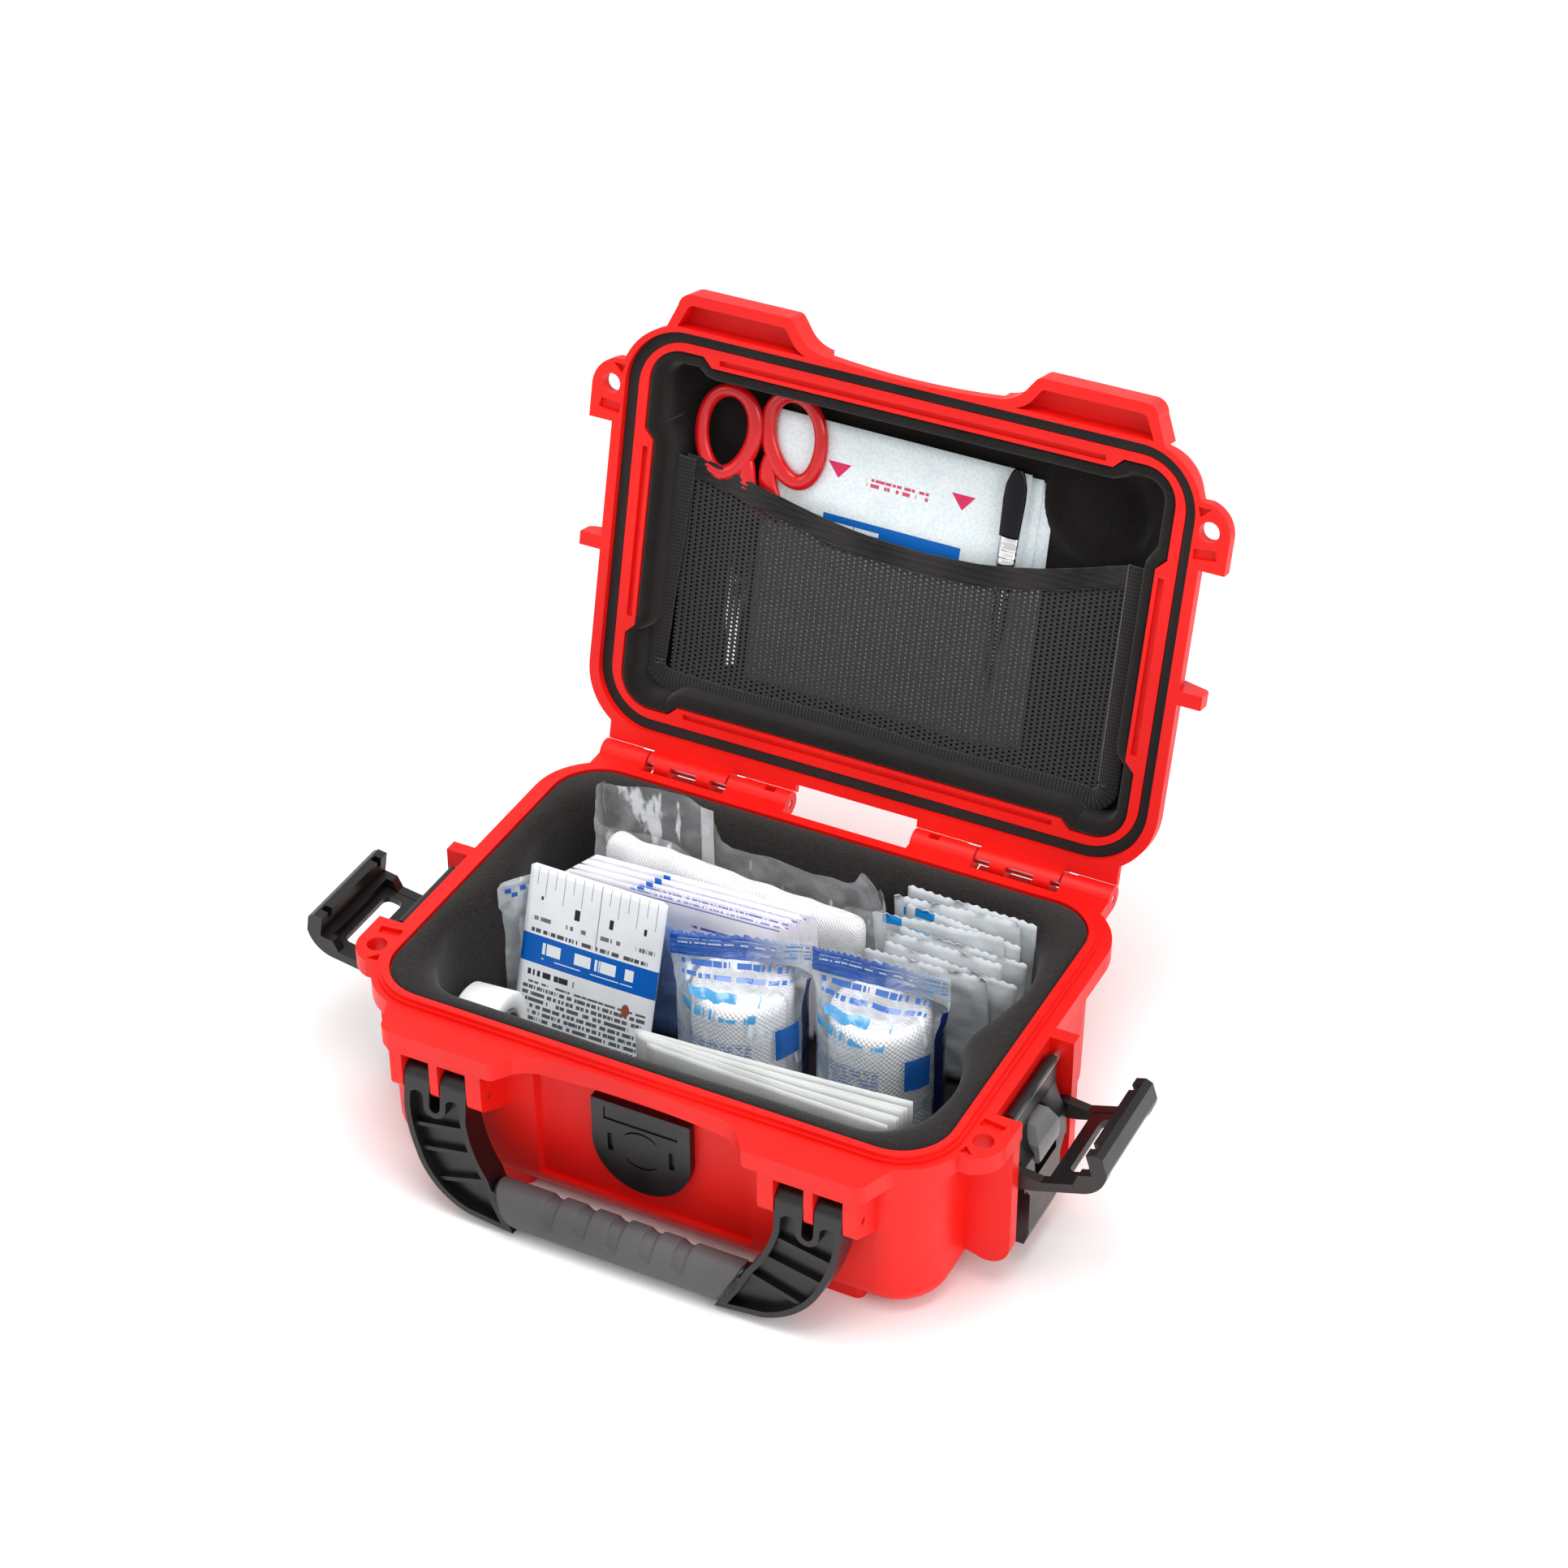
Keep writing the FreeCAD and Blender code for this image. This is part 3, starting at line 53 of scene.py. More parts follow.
# Lengths are in millimetres until a mesh is made. Lid pieces are laid out in the closed lid.
LID_ANGLE = -JOINTS["lid_hinge"]["range_deg"][0]
HINGE = Vector(JOINTS["lid_hinge"]["pos_m"]) * 1000.0
LID_OPEN = (Matrix.Translation(HINGE) @ Matrix.Rotation(-math.radians(LID_ANGLE), 4, "X")
            @ Matrix.Translation(-HINGE))
TO_METRES = Matrix.Scale(0.001, 4)
TRAY_TOP = 77.45
TRAY_FLOOR = 17.9


# ------------------------------------------------------------------ materials

def linear(red, green, blue):
    def one(value):
        value /= 255.0
        return value / 12.92 if value <= 0.04045 else ((value + 0.055) / 1.055) ** 2.4
    return (one(red), one(green), one(blue), 1.0)


class Material:
    """A procedural material put together from shader nodes."""

    def __init__(self, name, colour, rough=0.5, **settings):
        self.material = bpy.data.materials.new(name)
        self.material.use_nodes = True
        self.tree = self.material.node_tree
        self.shader = self.tree.nodes["Principled BSDF"]
        self.set("Base Color", colour)
        self.set("Roughness", rough)
        for key, value in settings.items():
            self.set(key.replace("_", " "), value)
        self.bumps = []

    def set(self, socket, value):
        target = self.shader.inputs[socket]
        if isinstance(value, bpy.types.NodeSocket):
            self.tree.links.new(value, target)
        else:
            target.default_value = value

    def node(self, kind, **inputs):
        made = self.tree.nodes.new(kind)
        for key, value in inputs.items():
            if isinstance(value, bpy.types.NodeSocket):
                self.tree.links.new(value, made.inputs[key.replace("_", " ")])
            else:
                made.inputs[key.replace("_", " ")].default_value = value
        return made

    def place(self, kind="Object"):
        return self.node("ShaderNodeTexCoord").outputs[kind]

    def uv(self):
        """The two sheet coordinates, in millimetres."""
        split = self.node("ShaderNodeSeparateXYZ", Vector=self.place("UV"))
        return split.outputs["X"], split.outputs["Y"]

    def math(self, operation, first, second=0.0, third=0.0):
        made = self.tree.nodes.new("ShaderNodeMath")
        made.operation = operation
        for socket, value in zip(made.inputs, (first, second, third)):
            if isinstance(value, bpy.types.NodeSocket):
                self.tree.links.new(value, socket)
            else:
                socket.default_value = value
        return made.outputs[0]

    def noise(self, scale, detail=4.0, kind="Object", rough=0.5, stretch=None):
        where = self.place(kind)
        if stretch:
            where = self.node("ShaderNodeVectorMath", Vector=where)
            where.operation = "MULTIPLY"
            where.inputs[1].default_value = stretch
            where = where.outputs[0]
        made = self.node("ShaderNodeTexNoise", Vector=where, Scale=scale, Detail=detail,
                         Roughness=rough)
        return made.outputs["Fac"]

    def ramp(self, factor, low, high, start=0.0, end=1.0):
        """Spreads a factor between two values or two colours."""
        if isinstance(low, tuple):
            made = self.tree.nodes.new("ShaderNodeMix")
            made.data_type = "RGBA"
            self.tree.links.new(self.ramp(factor, 0.0, 1.0, start, end), made.inputs[0])
            made.inputs[6].default_value = low
            made.inputs[7].default_value = high
            return made.outputs[2]
        made = self.node("ShaderNodeMapRange", Value=factor, From_Min=start, From_Max=end,
                         To_Min=low, To_Max=high)
        return made.outputs[0]

    def mix(self, factor, first, second):
        made = self.tree.nodes.new("ShaderNodeMix")
        made.data_type = "RGBA"
        for index, value in ((0, factor), (6, first), (7, second)):
            if isinstance(value, bpy.types.NodeSocket):
                self.tree.links.new(value, made.inputs[index])
            else:
                made.inputs[index].default_value = value
        return made.outputs[2]

    def bump(self, height, strength, distance=0.0002):
        previous = self.bumps[-1] if self.bumps else None
        made = self.node("ShaderNodeBump", Height=height, Strength=strength,
                         Distance=distance)
        if previous:
            self.tree.links.new(previous, made.inputs["Normal"])
        self.bumps.append(made.outputs["Normal"])
        self.set("Normal", made.outputs["Normal"])

    def inside(self, value, low, high):
        above = self.math("GREATER_THAN", value, low)
        below = self.math("LESS_THAN", value, high)
        return self.math("MULTIPLY", above, below)

    def patch(self, left, right, low, high):
        """A mask that is one inside a rectangle of the sheet."""
        across, up = self.uv()
        return self.math("MULTIPLY", self.inside(across, left, right),
                         self.inside(up, low, high))

    def dashes(self, left, right, low, high, pitch, seed, fill=0.55):
        """Rows of short broken bars, the look of small print with no letters in it."""
        across, up = self.uv()
        row = self.math("FLOOR", self.math("DIVIDE", up, pitch))
        phase = self.math("FRACT", self.math("DIVIDE", up, pitch))
        bar = self.math("LESS_THAN", phase, fill)
        where = self.node("ShaderNodeCombineXYZ", X=self.math("MULTIPLY", across, 1.6 / pitch),
                          Y=self.math("MULTIPLY", row, 7.31), Z=seed)
        speck = self.node("ShaderNodeTexNoise", Vector=where.outputs[0], Scale=1.0,
                          Detail=2.0)
        words = self.math("GREATER_THAN", speck.outputs["Fac"], 0.46)
        mask = self.math("MULTIPLY", self.math("MULTIPLY", bar, words),
                         self.patch(left, right, low, high))
        return mask

    def print_over(self, base, *marks):
        """Prints coloured masks over a base colour, in order."""
        result = base
        for mask, colour in marks:
            result = self.mix(mask, result, colour)
        self.set("Base Color", result)
        return result


def plastic(name, low, high, rough, grain=900.0, depth=0.25, gloss=0.5):
    """Moulded plastic: fine spark-eroded grain, slight flow shading and rubbed patches."""
    made = Material(name, high, rough, Specular_IOR_Level=gloss)
    made.set("Base Color", made.ramp(made.noise(14.0, 3.0), low, high, 0.35, 0.65))
    patches = made.noise(45.0, 5.0)
    made.set("Roughness", made.ramp(patches, rough - 0.06, rough + 0.08, 0.3, 0.7))
    made.bump(made.noise(grain, 2.0), depth, 0.00012)
    made.bump(made.noise(60.0, 2.0), 0.08, 0.0006)
    return made.material


def metal(name, colour, rough, stretch=(1.0, 30.0, 30.0)):
    made = Material(name, colour, rough, Metallic=1.0)
    streaks = made.noise(260.0, 3.0, stretch=stretch)
    made.set("Roughness", made.ramp(streaks, rough - 0.08, rough + 0.12, 0.3, 0.7))
    made.bump(streaks, 0.08, 0.00005)
    return made.material


def foam(name):
    """Charcoal foam: open cells at the surface and a soft nap."""
    made = Material(name, linear(40, 37, 37), 0.95, Sheen_Weight=0.12, Sheen_Roughness=0.6,
                    Specular_IOR_Level=0.15)
    tone = made.noise(900.0, 3.0)
    made.set("Base Color", made.ramp(tone, linear(14, 11, 11), linear(34, 29, 28), 0.3, 0.7))
    cells = made.node("ShaderNodeTexVoronoi", Vector=made.place(), Scale=1500.0)
    made.bump(cells.outputs["Distance"], 0.5, 0.0003)
    made.bump(made.noise(70.0, 4.0), 0.12, 0.001)
    return made.material


def knit(name, low, high, across, along, depth=0.6, rough=0.85):
    """Ribbed cloth, worked out from the sheet coordinates in millimetres."""
    made = Material(name, high, rough, Sheen_Weight=0.3, Specular_IOR_Level=0.2)
    first, second = made.uv()
    ribs = made.math("SINE", made.math("MULTIPLY", first, 2.0 * math.pi / across))
    yarn = made.math("SINE", made.math("MULTIPLY", second, 2.0 * math.pi / along))
    weave = made.math("MULTIPLY_ADD", yarn, 0.45, ribs)
    fuzz = made.noise(1400.0, 3.0)
    made.bump(weave, depth, 0.00025)
    made.bump(fuzz, 0.35, 0.0002)
    # Painted shade: the colour follows the weave's height, darker in its hollows and lighter on the
    # raised yarn.
    made.set("Base Color", made.mix(made.ramp(weave, 0.0, 1.0, -1.2, 1.2), low, high))
    return made.material


def lining(name):
    """Brushed black cloth over the moulded liner."""
    made = Material(name, linear(30, 27, 27), 0.92, Sheen_Weight=0.15, Sheen_Roughness=0.5,
                    Specular_IOR_Level=0.12)
    weave = made.noise(1100.0, 2.0, stretch=(1.0, 3.0, 3.0))
    soft = made.noise(24.0, 4.0)
    tone = made.mix(made.ramp(soft, 0.0, 1.0, 0.35, 0.7), linear(15, 13, 12), linear(27, 24, 23))
    # Painted highlight: the lighter colour is mixed in along the raised threads of the weave.
    made.set("Base Color", made.mix(made.ramp(weave, 0.0, 0.6, 0.45, 0.75), tone,
                                    linear(42, 38, 36)))
    made.bump(weave, 0.45, 0.00025)
    return made.material


def mesh_cloth(name):
    """Black pocket mesh: knitted ribs with rows of small open holes."""
    made = Material(name, linear(40, 38, 39), 0.7, Sheen_Weight=0.2)
    across, up = made.uv()
    column = made.math("DIVIDE", across, 2.35)
    odd = made.math("MULTIPLY", made.math("FLOOR", column), 0.5)
    row = made.math("ADD", made.math("DIVIDE", up, 1.75), odd)
    side = made.math("SUBTRACT", made.math("FRACT", column), 0.5)
    height = made.math("SUBTRACT", made.math("FRACT", row), 0.5)
    side = made.math("DIVIDE", side, 0.235)
    height = made.math("DIVIDE", height, 0.27)
    reach = made.math("ADD", made.math("POWER", made.math("ABSOLUTE", side), 2.0),
                      made.math("POWER", made.math("ABSOLUTE", height), 2.0))
    hole = made.math("LESS_THAN", reach, 1.0)
    ribs = made.math("SINE", made.math("MULTIPLY", column, 4.0 * math.pi))
    yarn = made.math("SINE", made.math("MULTIPLY", up, 2.0 * math.pi / 0.6))
    weave = made.math("MULTIPLY_ADD", yarn, 0.5, ribs)
    made.bump(weave, 0.6, 0.0003)
    # Painted shade: the colour follows the ribs' height, darker in the hollows between them and lighter
    # on the raised yarn.
    made.set("Base Color", made.mix(made.ramp(weave, 0.0, 1.0, -1.5, 1.5),
                                    linear(14, 13, 13), linear(40, 38, 38)))
    made.set("Alpha", made.math("SUBTRACT", 1.0, hole))
    return made.material


def paper(name, colour=(244, 245, 246), rough=0.62, marks=None, crease=0.25):
    """Coated paper with soft creases; marks() returns the printed masks."""
    made = Material(name, linear(*colour), rough, Specular_IOR_Level=0.35,
                    Subsurface_Weight=0.08)
    made.shader.inputs["Subsurface Scale"].default_value = 0.002
    tone = made.noise(60.0, 4.0)
    soft = tuple(max(0, value - 10) for value in colour)
    base = made.ramp(tone, linear(*soft), linear(*colour), 0.3, 0.6)
    made.set("Base Color", base)
    if marks:
        made.print_over(base, *marks(made))
    made.bump(made.noise(700.0, 3.0), 0.15, 0.0001)
    made.bump(made.noise(55.0, 5.0), crease, 0.0012)
    return made.material


def film(name, tint=(236, 244, 250), cover=0.16, marks=None, crease=0.7, fold_highlight_level=0.28):
    """Clear packing film: mostly see-through, painted bright where a fold would catch the light, with a
    painted sheen at grazing angles.
    """
    made = Material(name, linear(*tint), 0.12, Specular_IOR_Level=0.9)
    # Painted reflection: the layer weight below makes the white film more opaque where it is seen at a
    # grazing angle.
    edge = made.node("ShaderNodeLayerWeight", Blend=0.35).outputs["Facing"]
    folds = made.noise(90.0, 6.0)
    # Painted highlights: the white film turns opaque where the fold noise is high, as if a fold caught
    # the light, and the stretched noise below adds painted glints.
    painted_fold_highlight = made.ramp(folds, 0.0, fold_highlight_level, 0.48, 0.72)
    glint = made.ramp(made.noise(120.0, 4.0, stretch=(1.0, 1.0, 0.35)), 0.0, 0.6, 0.6, 0.66)
    painted_fold_highlight = made.math("MAXIMUM", painted_fold_highlight, glint)
    shown = made.math("ADD", made.ramp(edge, cover, cover + 0.5, 0.0, 1.0), painted_fold_highlight)
    shown = made.math("MINIMUM", shown, 1.0)
    if marks:
        printed = marks(made)
        made.print_over(linear(*tint), *printed)
        for mask, _ in printed:
            shown = made.math("MAXIMUM", shown, made.math("MULTIPLY", mask, 0.93))
    made.set("Alpha", shown)
    made.bump(folds, crease, 0.002)
    made.bump(made.noise(28.0, 4.0), crease, 0.004)
    return made.material


def gauze_cloth(name, cell=2.1):
    """Bleached gauze: a soft square weave."""
    made = Material(name, linear(246, 246, 246), 0.95, Sheen_Weight=0.2,
                    Specular_IOR_Level=0.1, Subsurface_Weight=0.15)
    made.shader.inputs["Subsurface Scale"].default_value = 0.003
    across, up = made.uv()
    first = made.math("SINE", made.math("MULTIPLY", across, 2.0 * math.pi / cell))
    second = made.math("SINE", made.math("MULTIPLY", up, 2.0 * math.pi / cell))
    weave = made.math("MULTIPLY", first, second)
    made.bump(weave, 0.6, 0.0005)
    made.bump(made.noise(500.0, 3.0), 0.4, 0.0004)
    # Painted shade: the colour follows the weave's height, greyer where the threads dip and white on
    # top.
    made.set("Base Color", made.ramp(weave, linear(218, 220, 224), linear(250, 250, 250),
                                     -1.0, 0.2))
    return made.material


# ------------------------------------------------------------------ meshes

def piece(name, points, faces, material, body, sheet=None, smooth=True, replaces=(),
          slot=None, place=None):
    """Makes a mesh from millimetre points, optionally moved by a matrix, riding on a body."""
    mesh = bpy.data.meshes.new(name)
    mesh.from_pydata([tuple(p) for p in points], [], faces)
    if place is not None:
        mesh.transform(place)
    mesh.transform(TO_METRES)
    if sheet is not None:
        layer = mesh.uv_layers.new(name="Sheet")
        loops = np.zeros(len(mesh.loops), np.int32)
        mesh.loops.foreach_get("vertex_index", loops)
        layer.data.foreach_set("uv", np.array(sheet, np.float32)[loops].ravel())
    mesh.materials.append(material)
    if smooth:
        mesh.polygons.foreach_set("use_smooth", [True] * len(mesh.polygons))
    mesh.update()
    made = bpy.data.objects.new(name, mesh)
    bpy.context.scene.collection.objects.link(made)
    fix = bmesh.new()
    fix.from_mesh(mesh)
    bmesh.ops.recalc_face_normals(fix, faces=fix.faces)
    fix.to_mesh(mesh)
    fix.free()
    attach(made, body)
    if replaces:
        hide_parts(*replaces)
    return made


def grid_faces(rows, columns, closed=False):
    """Faces of a grid of points stored row by row; closed joins each row's ends."""
    faces = []
    last = columns if closed else columns - 1
    for row in range(rows - 1):
        for column in range(last):
            follow = (column + 1) % columns
            faces.append((row * columns + column, row * columns + follow,
                          (row + 1) * columns + follow, (row + 1) * columns + column))
    return faces


def smoothed(made, levels=1):
    modifier = made.modifiers.new("Smooth", "SUBSURF")
    modifier.levels = levels
    modifier.render_levels = levels
    return made


def thick(made, thickness, offset=0.0):
    modifier = made.modifiers.new("Thick", "SOLIDIFY")
    modifier.thickness = thickness * 0.001
    modifier.offset = offset
    return made


def wave(x, y, z=0.0, size=10.0, seed=0.0):
    """Smooth noise between about -1 and 1, with features about size millimetres wide."""
    return noise.noise(Vector((x / size + seed, y / size - seed * 0.7, z / size + 3.1)))


def even_loop(corners, count):
    """count points spread evenly by length along a closed outline with rounded corners.

    A corner is (x, y, radius)."""
    dense = []
    total = len(corners)
    for index, (x, y, radius) in enumerate(corners):
        here = Vector((x, y))
        before = Vector(corners[index - 1][:2])
        after = Vector(corners[(index + 1) % total][:2])
        into = (before - here).normalized()
        out = (after - here).normalized()
        if radius <= 0:
            dense.append(here)
            continue
        half = math.acos(max(-1.0, min(1.0, into.dot(out)))) / 2.0
        reach = radius / math.tan(half)
        start = here + into * reach
        end = here + out * reach
        middle = here + (into + out).normalized() * (radius / math.sin(half))
        steps = 10
        first = math.atan2(start.y - middle.y, start.x - middle.x)
        sweep = math.atan2(end.y - middle.y, end.x - middle.x) - first
        sweep = (sweep + math.pi) % (2.0 * math.pi) - math.pi
        for step in range(steps + 1):
            angle = first + sweep * step / steps
            dense.append(middle + Vector((math.cos(angle), math.sin(angle))) * radius)
    lengths = [0.0]
    for index in range(len(dense)):
        lengths.append(lengths[-1] + (dense[(index + 1) % len(dense)] - dense[index]).length)
    spots = []
    place = 0
    for step in range(count):
        wanted = lengths[-1] * step / count
        while lengths[place + 1] < wanted:
            place += 1
        span = lengths[place + 1] - lengths[place]
        share = (wanted - lengths[place]) / span if span else 0.0
        spots.append(dense[place].lerp(dense[(place + 1) % len(dense)], share))
    return spots


def loop_out(loop, distance):
    """The loop moved outwards, or inwards when the distance is negative."""
    moved = []
    count = len(loop)
    for index, spot in enumerate(loop):
        along = loop[(index + 1) % count] - loop[index - 1]
        normal = Vector((along.y, -along.x)).normalized()
        moved.append(spot + normal * distance)
    return moved


def rounded(left, right, low, high, radius):
    return [(left, low, radius), (right, low, radius), (right, high, radius),
            (left, high, radius)]


def packet(name, width, height, thickness, place, material, body, margin=6.0, seed=0.0,
           bend=0.0, wrinkle=0.5, columns=28, rows=24, saw=0.0, corner=0.0, **extra):
    """A thin sealed packet standing on its lower edge.

    The local frame has X across, Y to the back and Z up. The sheet coordinates are
    millimetres from the lower left corner of the front."""
    points, sheet = [], []
    for face in (-1, 1):
        for row in range(rows + 1):
            for column in range(columns + 1):
                across = column / columns
                up = row / rows
                x = (across - 0.5) * width
                z = up * height
                if corner and row == rows:
                    edge = min(across, 1.0 - across) * width
                    z -= corner * max(0.0, 1.0 - edge / corner) ** 2
                inset = min(across * width, (1.0 - across) * width, z, height - z)
                full = max(0.0, min(1.0, inset / margin))
                full = full * full * (3.0 - 2.0 * full)
                puff = thickness * 0.5 * full + 0.12
                sway = bend * (2.0 * across - 1.0) ** 2
                crumple = wrinkle * wave(x, z, 0.0, 14.0, seed) * (0.4 + 0.6 * full)
                crumple += wrinkle * 0.5 * wave(x, z, face * 2.0, 5.0, seed + 4.0)
                if saw and row in (0, rows):
                    z += saw * (0.5 if column % 2 else -0.5)
                points.append((x, face * puff + sway + crumple, z))
                sheet.append((across * width, up * height))
    span = columns + 1
    count = span * (rows + 1)
    faces = grid_faces(rows + 1, span)
    faces += [tuple(index + count for index in reversed(face)) for face in faces]
    ring = list(range(span)) + [row * span + columns for row in range(1, rows + 1)]
    ring += [rows * span + column for column in range(columns - 1, -1, -1)]
    ring += [row * span for row in range(rows - 1, 0, -1)]
    for index, first in enumerate(ring):
        second = ring[(index + 1) % len(ring)]
        faces.append((second, first, first + count, second + count))
    return piece(name, points, faces, material, body, sheet, place=place, **extra)


def stand(x, y, z, yaw=0.0, lean=0.0):
    """Placement of a standing packet: bottom centre, turned by yaw, leaning back by lean."""
    return (Matrix.Translation((x, y, z)) @ Matrix.Rotation(math.radians(yaw), 4, "Z")
            @ Matrix.Rotation(math.radians(-lean), 4, "X"))


def in_lid(x, y, depth, turn=0.0):
    """Placement of a flat packet in the closed lid: its lower middle at (x, y)."""
    lay = Matrix(((1, 0, 0, x), (0, 0, -1, y), (0, 1, 0, depth), (0, 0, 0, 1)))
    return LID_OPEN @ lay @ Matrix.Rotation(math.radians(turn), 4, "Y")


# ------------------------------------------------------------------ palette

RED_LOW = linear(214, 10, 5)
RED_HIGH = linear(230, 19, 8)
RED = plastic("red_plastic", RED_LOW, RED_HIGH, 0.46, 1100.0, 0.22, 0.34)
BLACK = plastic("black_plastic", linear(9, 7, 8), linear(16, 13, 14), 0.34, 900.0, 0.2)
GREY = plastic("grey_lock", linear(104, 104, 106), linear(122, 122, 124), 0.4, 1200.0, 0.15)
RUBBER = plastic("grip_rubber", linear(70, 70, 71), linear(86, 86, 87), 0.55, 700.0, 0.35, 0.35)
SEAL = plastic("seal_rubber", linear(22, 20, 20), linear(34, 31, 30), 0.7, 800.0, 0.3, 0.3)
SCISSOR_RED = plastic("scissors_red", linear(190, 10, 18), linear(214, 16, 24), 0.2, 300.0, 0.05)
STEEL = metal("steel", linear(200, 200, 202), 0.28)
POLISHED = metal("polished_steel", linear(225, 225, 226), 0.16)
DARK_STEEL = metal("dark_steel", linear(40, 40, 42), 0.22)
FOAM = foam("charcoal_foam")
LINING = lining("liner_cloth")
MESH = mesh_cloth("pocket_mesh")
ELASTIC = knit("elastic_band", linear(13, 12, 12), linear(40, 37, 37), 40.0, 2.5)
BINDING = knit("binding_tape", linear(13, 12, 12), linear(44, 41, 40), 1.5, 1.1)
GAUZE = gauze_cloth("gauze")
PAD = gauze_cloth("padded_gauze", 1.3)


def finish(names, material, width=0.5, segments=2, limit=32.0):
    """Gives CAD pieces their material and softly rounded edges."""
    for name in names:
        made = NODES[name]
        for index in range(max(1, len(made.data.materials))):
            if index < len(made.data.materials):
                made.data.materials[index] = material
            else:
                made.data.materials.append(material)
        flat = made.modifiers.new("Flat", "DECIMATE")
        flat.decimate_type = "DISSOLVE"
        flat.angle_limit = math.radians(0.6)
        if width:
            bevel = made.modifiers.new("Edge", "BEVEL")
            bevel.width = width * 0.001
            bevel.segments = segments
            bevel.limit_method = "ANGLE"
            bevel.angle_limit = math.radians(limit)
            bevel.use_clamp_overlap = True
            bevel.harden_normals = False
        made.modifiers.new("Normals", "WEIGHTED_NORMAL").keep_sharp = True


finish(["base_shell", "lid_shell"], RED, 0.7)
finish(["handle_frame", "valve_cover"], BLACK, 0.5)
finish(["latch_lever_left", "latch_lever_right", "latch_claw_left", "latch_claw_right"],
       BLACK, 0.45)
finish(["latch_slide_left", "latch_slide_right"], GREY, 0.4)
finish(["lid_gasket", "valve_membrane"], SEAL, 0.3)
finish(["hinge_pin_left", "hinge_pin_right", "handle_pin_left", "handle_pin_right",
        "lever_pin_left", "lever_pin_right", "claw_pin_left", "claw_pin_right",
        "valve_body", "scissors_rivet"], STEEL, 0.15)
finish(["scissors_blade_left", "scissors_blade_right"], POLISHED, 0.1)


# ------------------------------------------------------------------ liners

def base_foam():
    """Foam tray: flat border, a wide soft lip, scooped side walls and a floor."""
    count = 288
    outer = even_loop(rounded(-112.1, 112.1, -77.1, 77.1, 19.5), count)
    inner = even_loop(rounded(-98.0, 97.5, -66.0, 62.0, 18.0), count)

    def scooped(loop, depth):
        moved = []
        out = loop_out(loop, 1.0)
        for spot, beyond in zip(loop, out):
            normal = beyond - spot
            side = abs(normal.x)
            hollow = (math.exp(-((spot.y + 36.0) / 15.0) ** 2)
                      + math.exp(-((spot.y - 30.0) / 16.0) ** 2)
                      - 0.9 * math.exp(-((spot.y + 3.0) / 11.0) ** 2))
            front = math.exp(-((spot.x + 2.0) / 24.0) ** 2) if normal.y < -0.5 else 0.0
            moved.append(spot + normal * (depth * (side * hollow + front * 0.3)))
        return moved

    lip = 9.0
    rings = [(outer, 75.6), (loop_out(outer, -0.2), 76.9), (loop_out(outer, -1.0), TRAY_TOP)]
    for step in range(7):
        angle = math.radians(90.0 * step / 6)
        depth = 5.0 * (0.25 + 0.75 * step / 6)
        ring = loop_out(scooped(inner, depth), lip * (1.0 - math.sin(angle)))
        rings.append((ring, TRAY_TOP - lip * (1.0 - math.cos(angle))))
    for height, draw in ((60.0, 0.4), (45.0, 0.9), (30.0, 1.4), (22.0, 2.0), (19.0, 3.4),
                         (17.7, 7.0)):
        rings.append((loop_out(scooped(inner, 5.0 * height / 66.0), -draw), height))
    for share in (0.8, 0.5, 0.2, 0.02):
        rings.append(([spot * share for spot in loop_out(inner, -7.5)], 17.6))
    points, sheet = [], []
    for ring, height in rings:
        for spot in ring:
            soft = 0.25 * wave(spot.x, spot.y, height, 18.0, 2.0)
            points.append((spot.x, spot.y, height + soft))
            sheet.append((spot.x, spot.y))
    faces = grid_faces(len(rings), count, closed=True)
    piece("foam_tray", points, faces, FOAM, "base", sheet, replaces=["base_foam_liner"],
          slot="black_fabric")


def lid_outline():
    """The stepped edge of the lid's opening: wider at the corners than along the sides."""
    right = [(82.0, -70.0, 3.0), (86.0, -73.6, 3.0), (108.2, -73.6, 13.0), (108.2, -40.0, 3.0),
             (104.2, -36.0, 3.0), (104.2, 36.0, 3.0), (108.2, 40.0, 3.0), (108.2, 73.6, 13.0),
             (86.0, 73.6, 3.0), (82.0, 70.0, 3.0)]
    return right + [(-x, y, radius) for x, y, radius in reversed(right)]


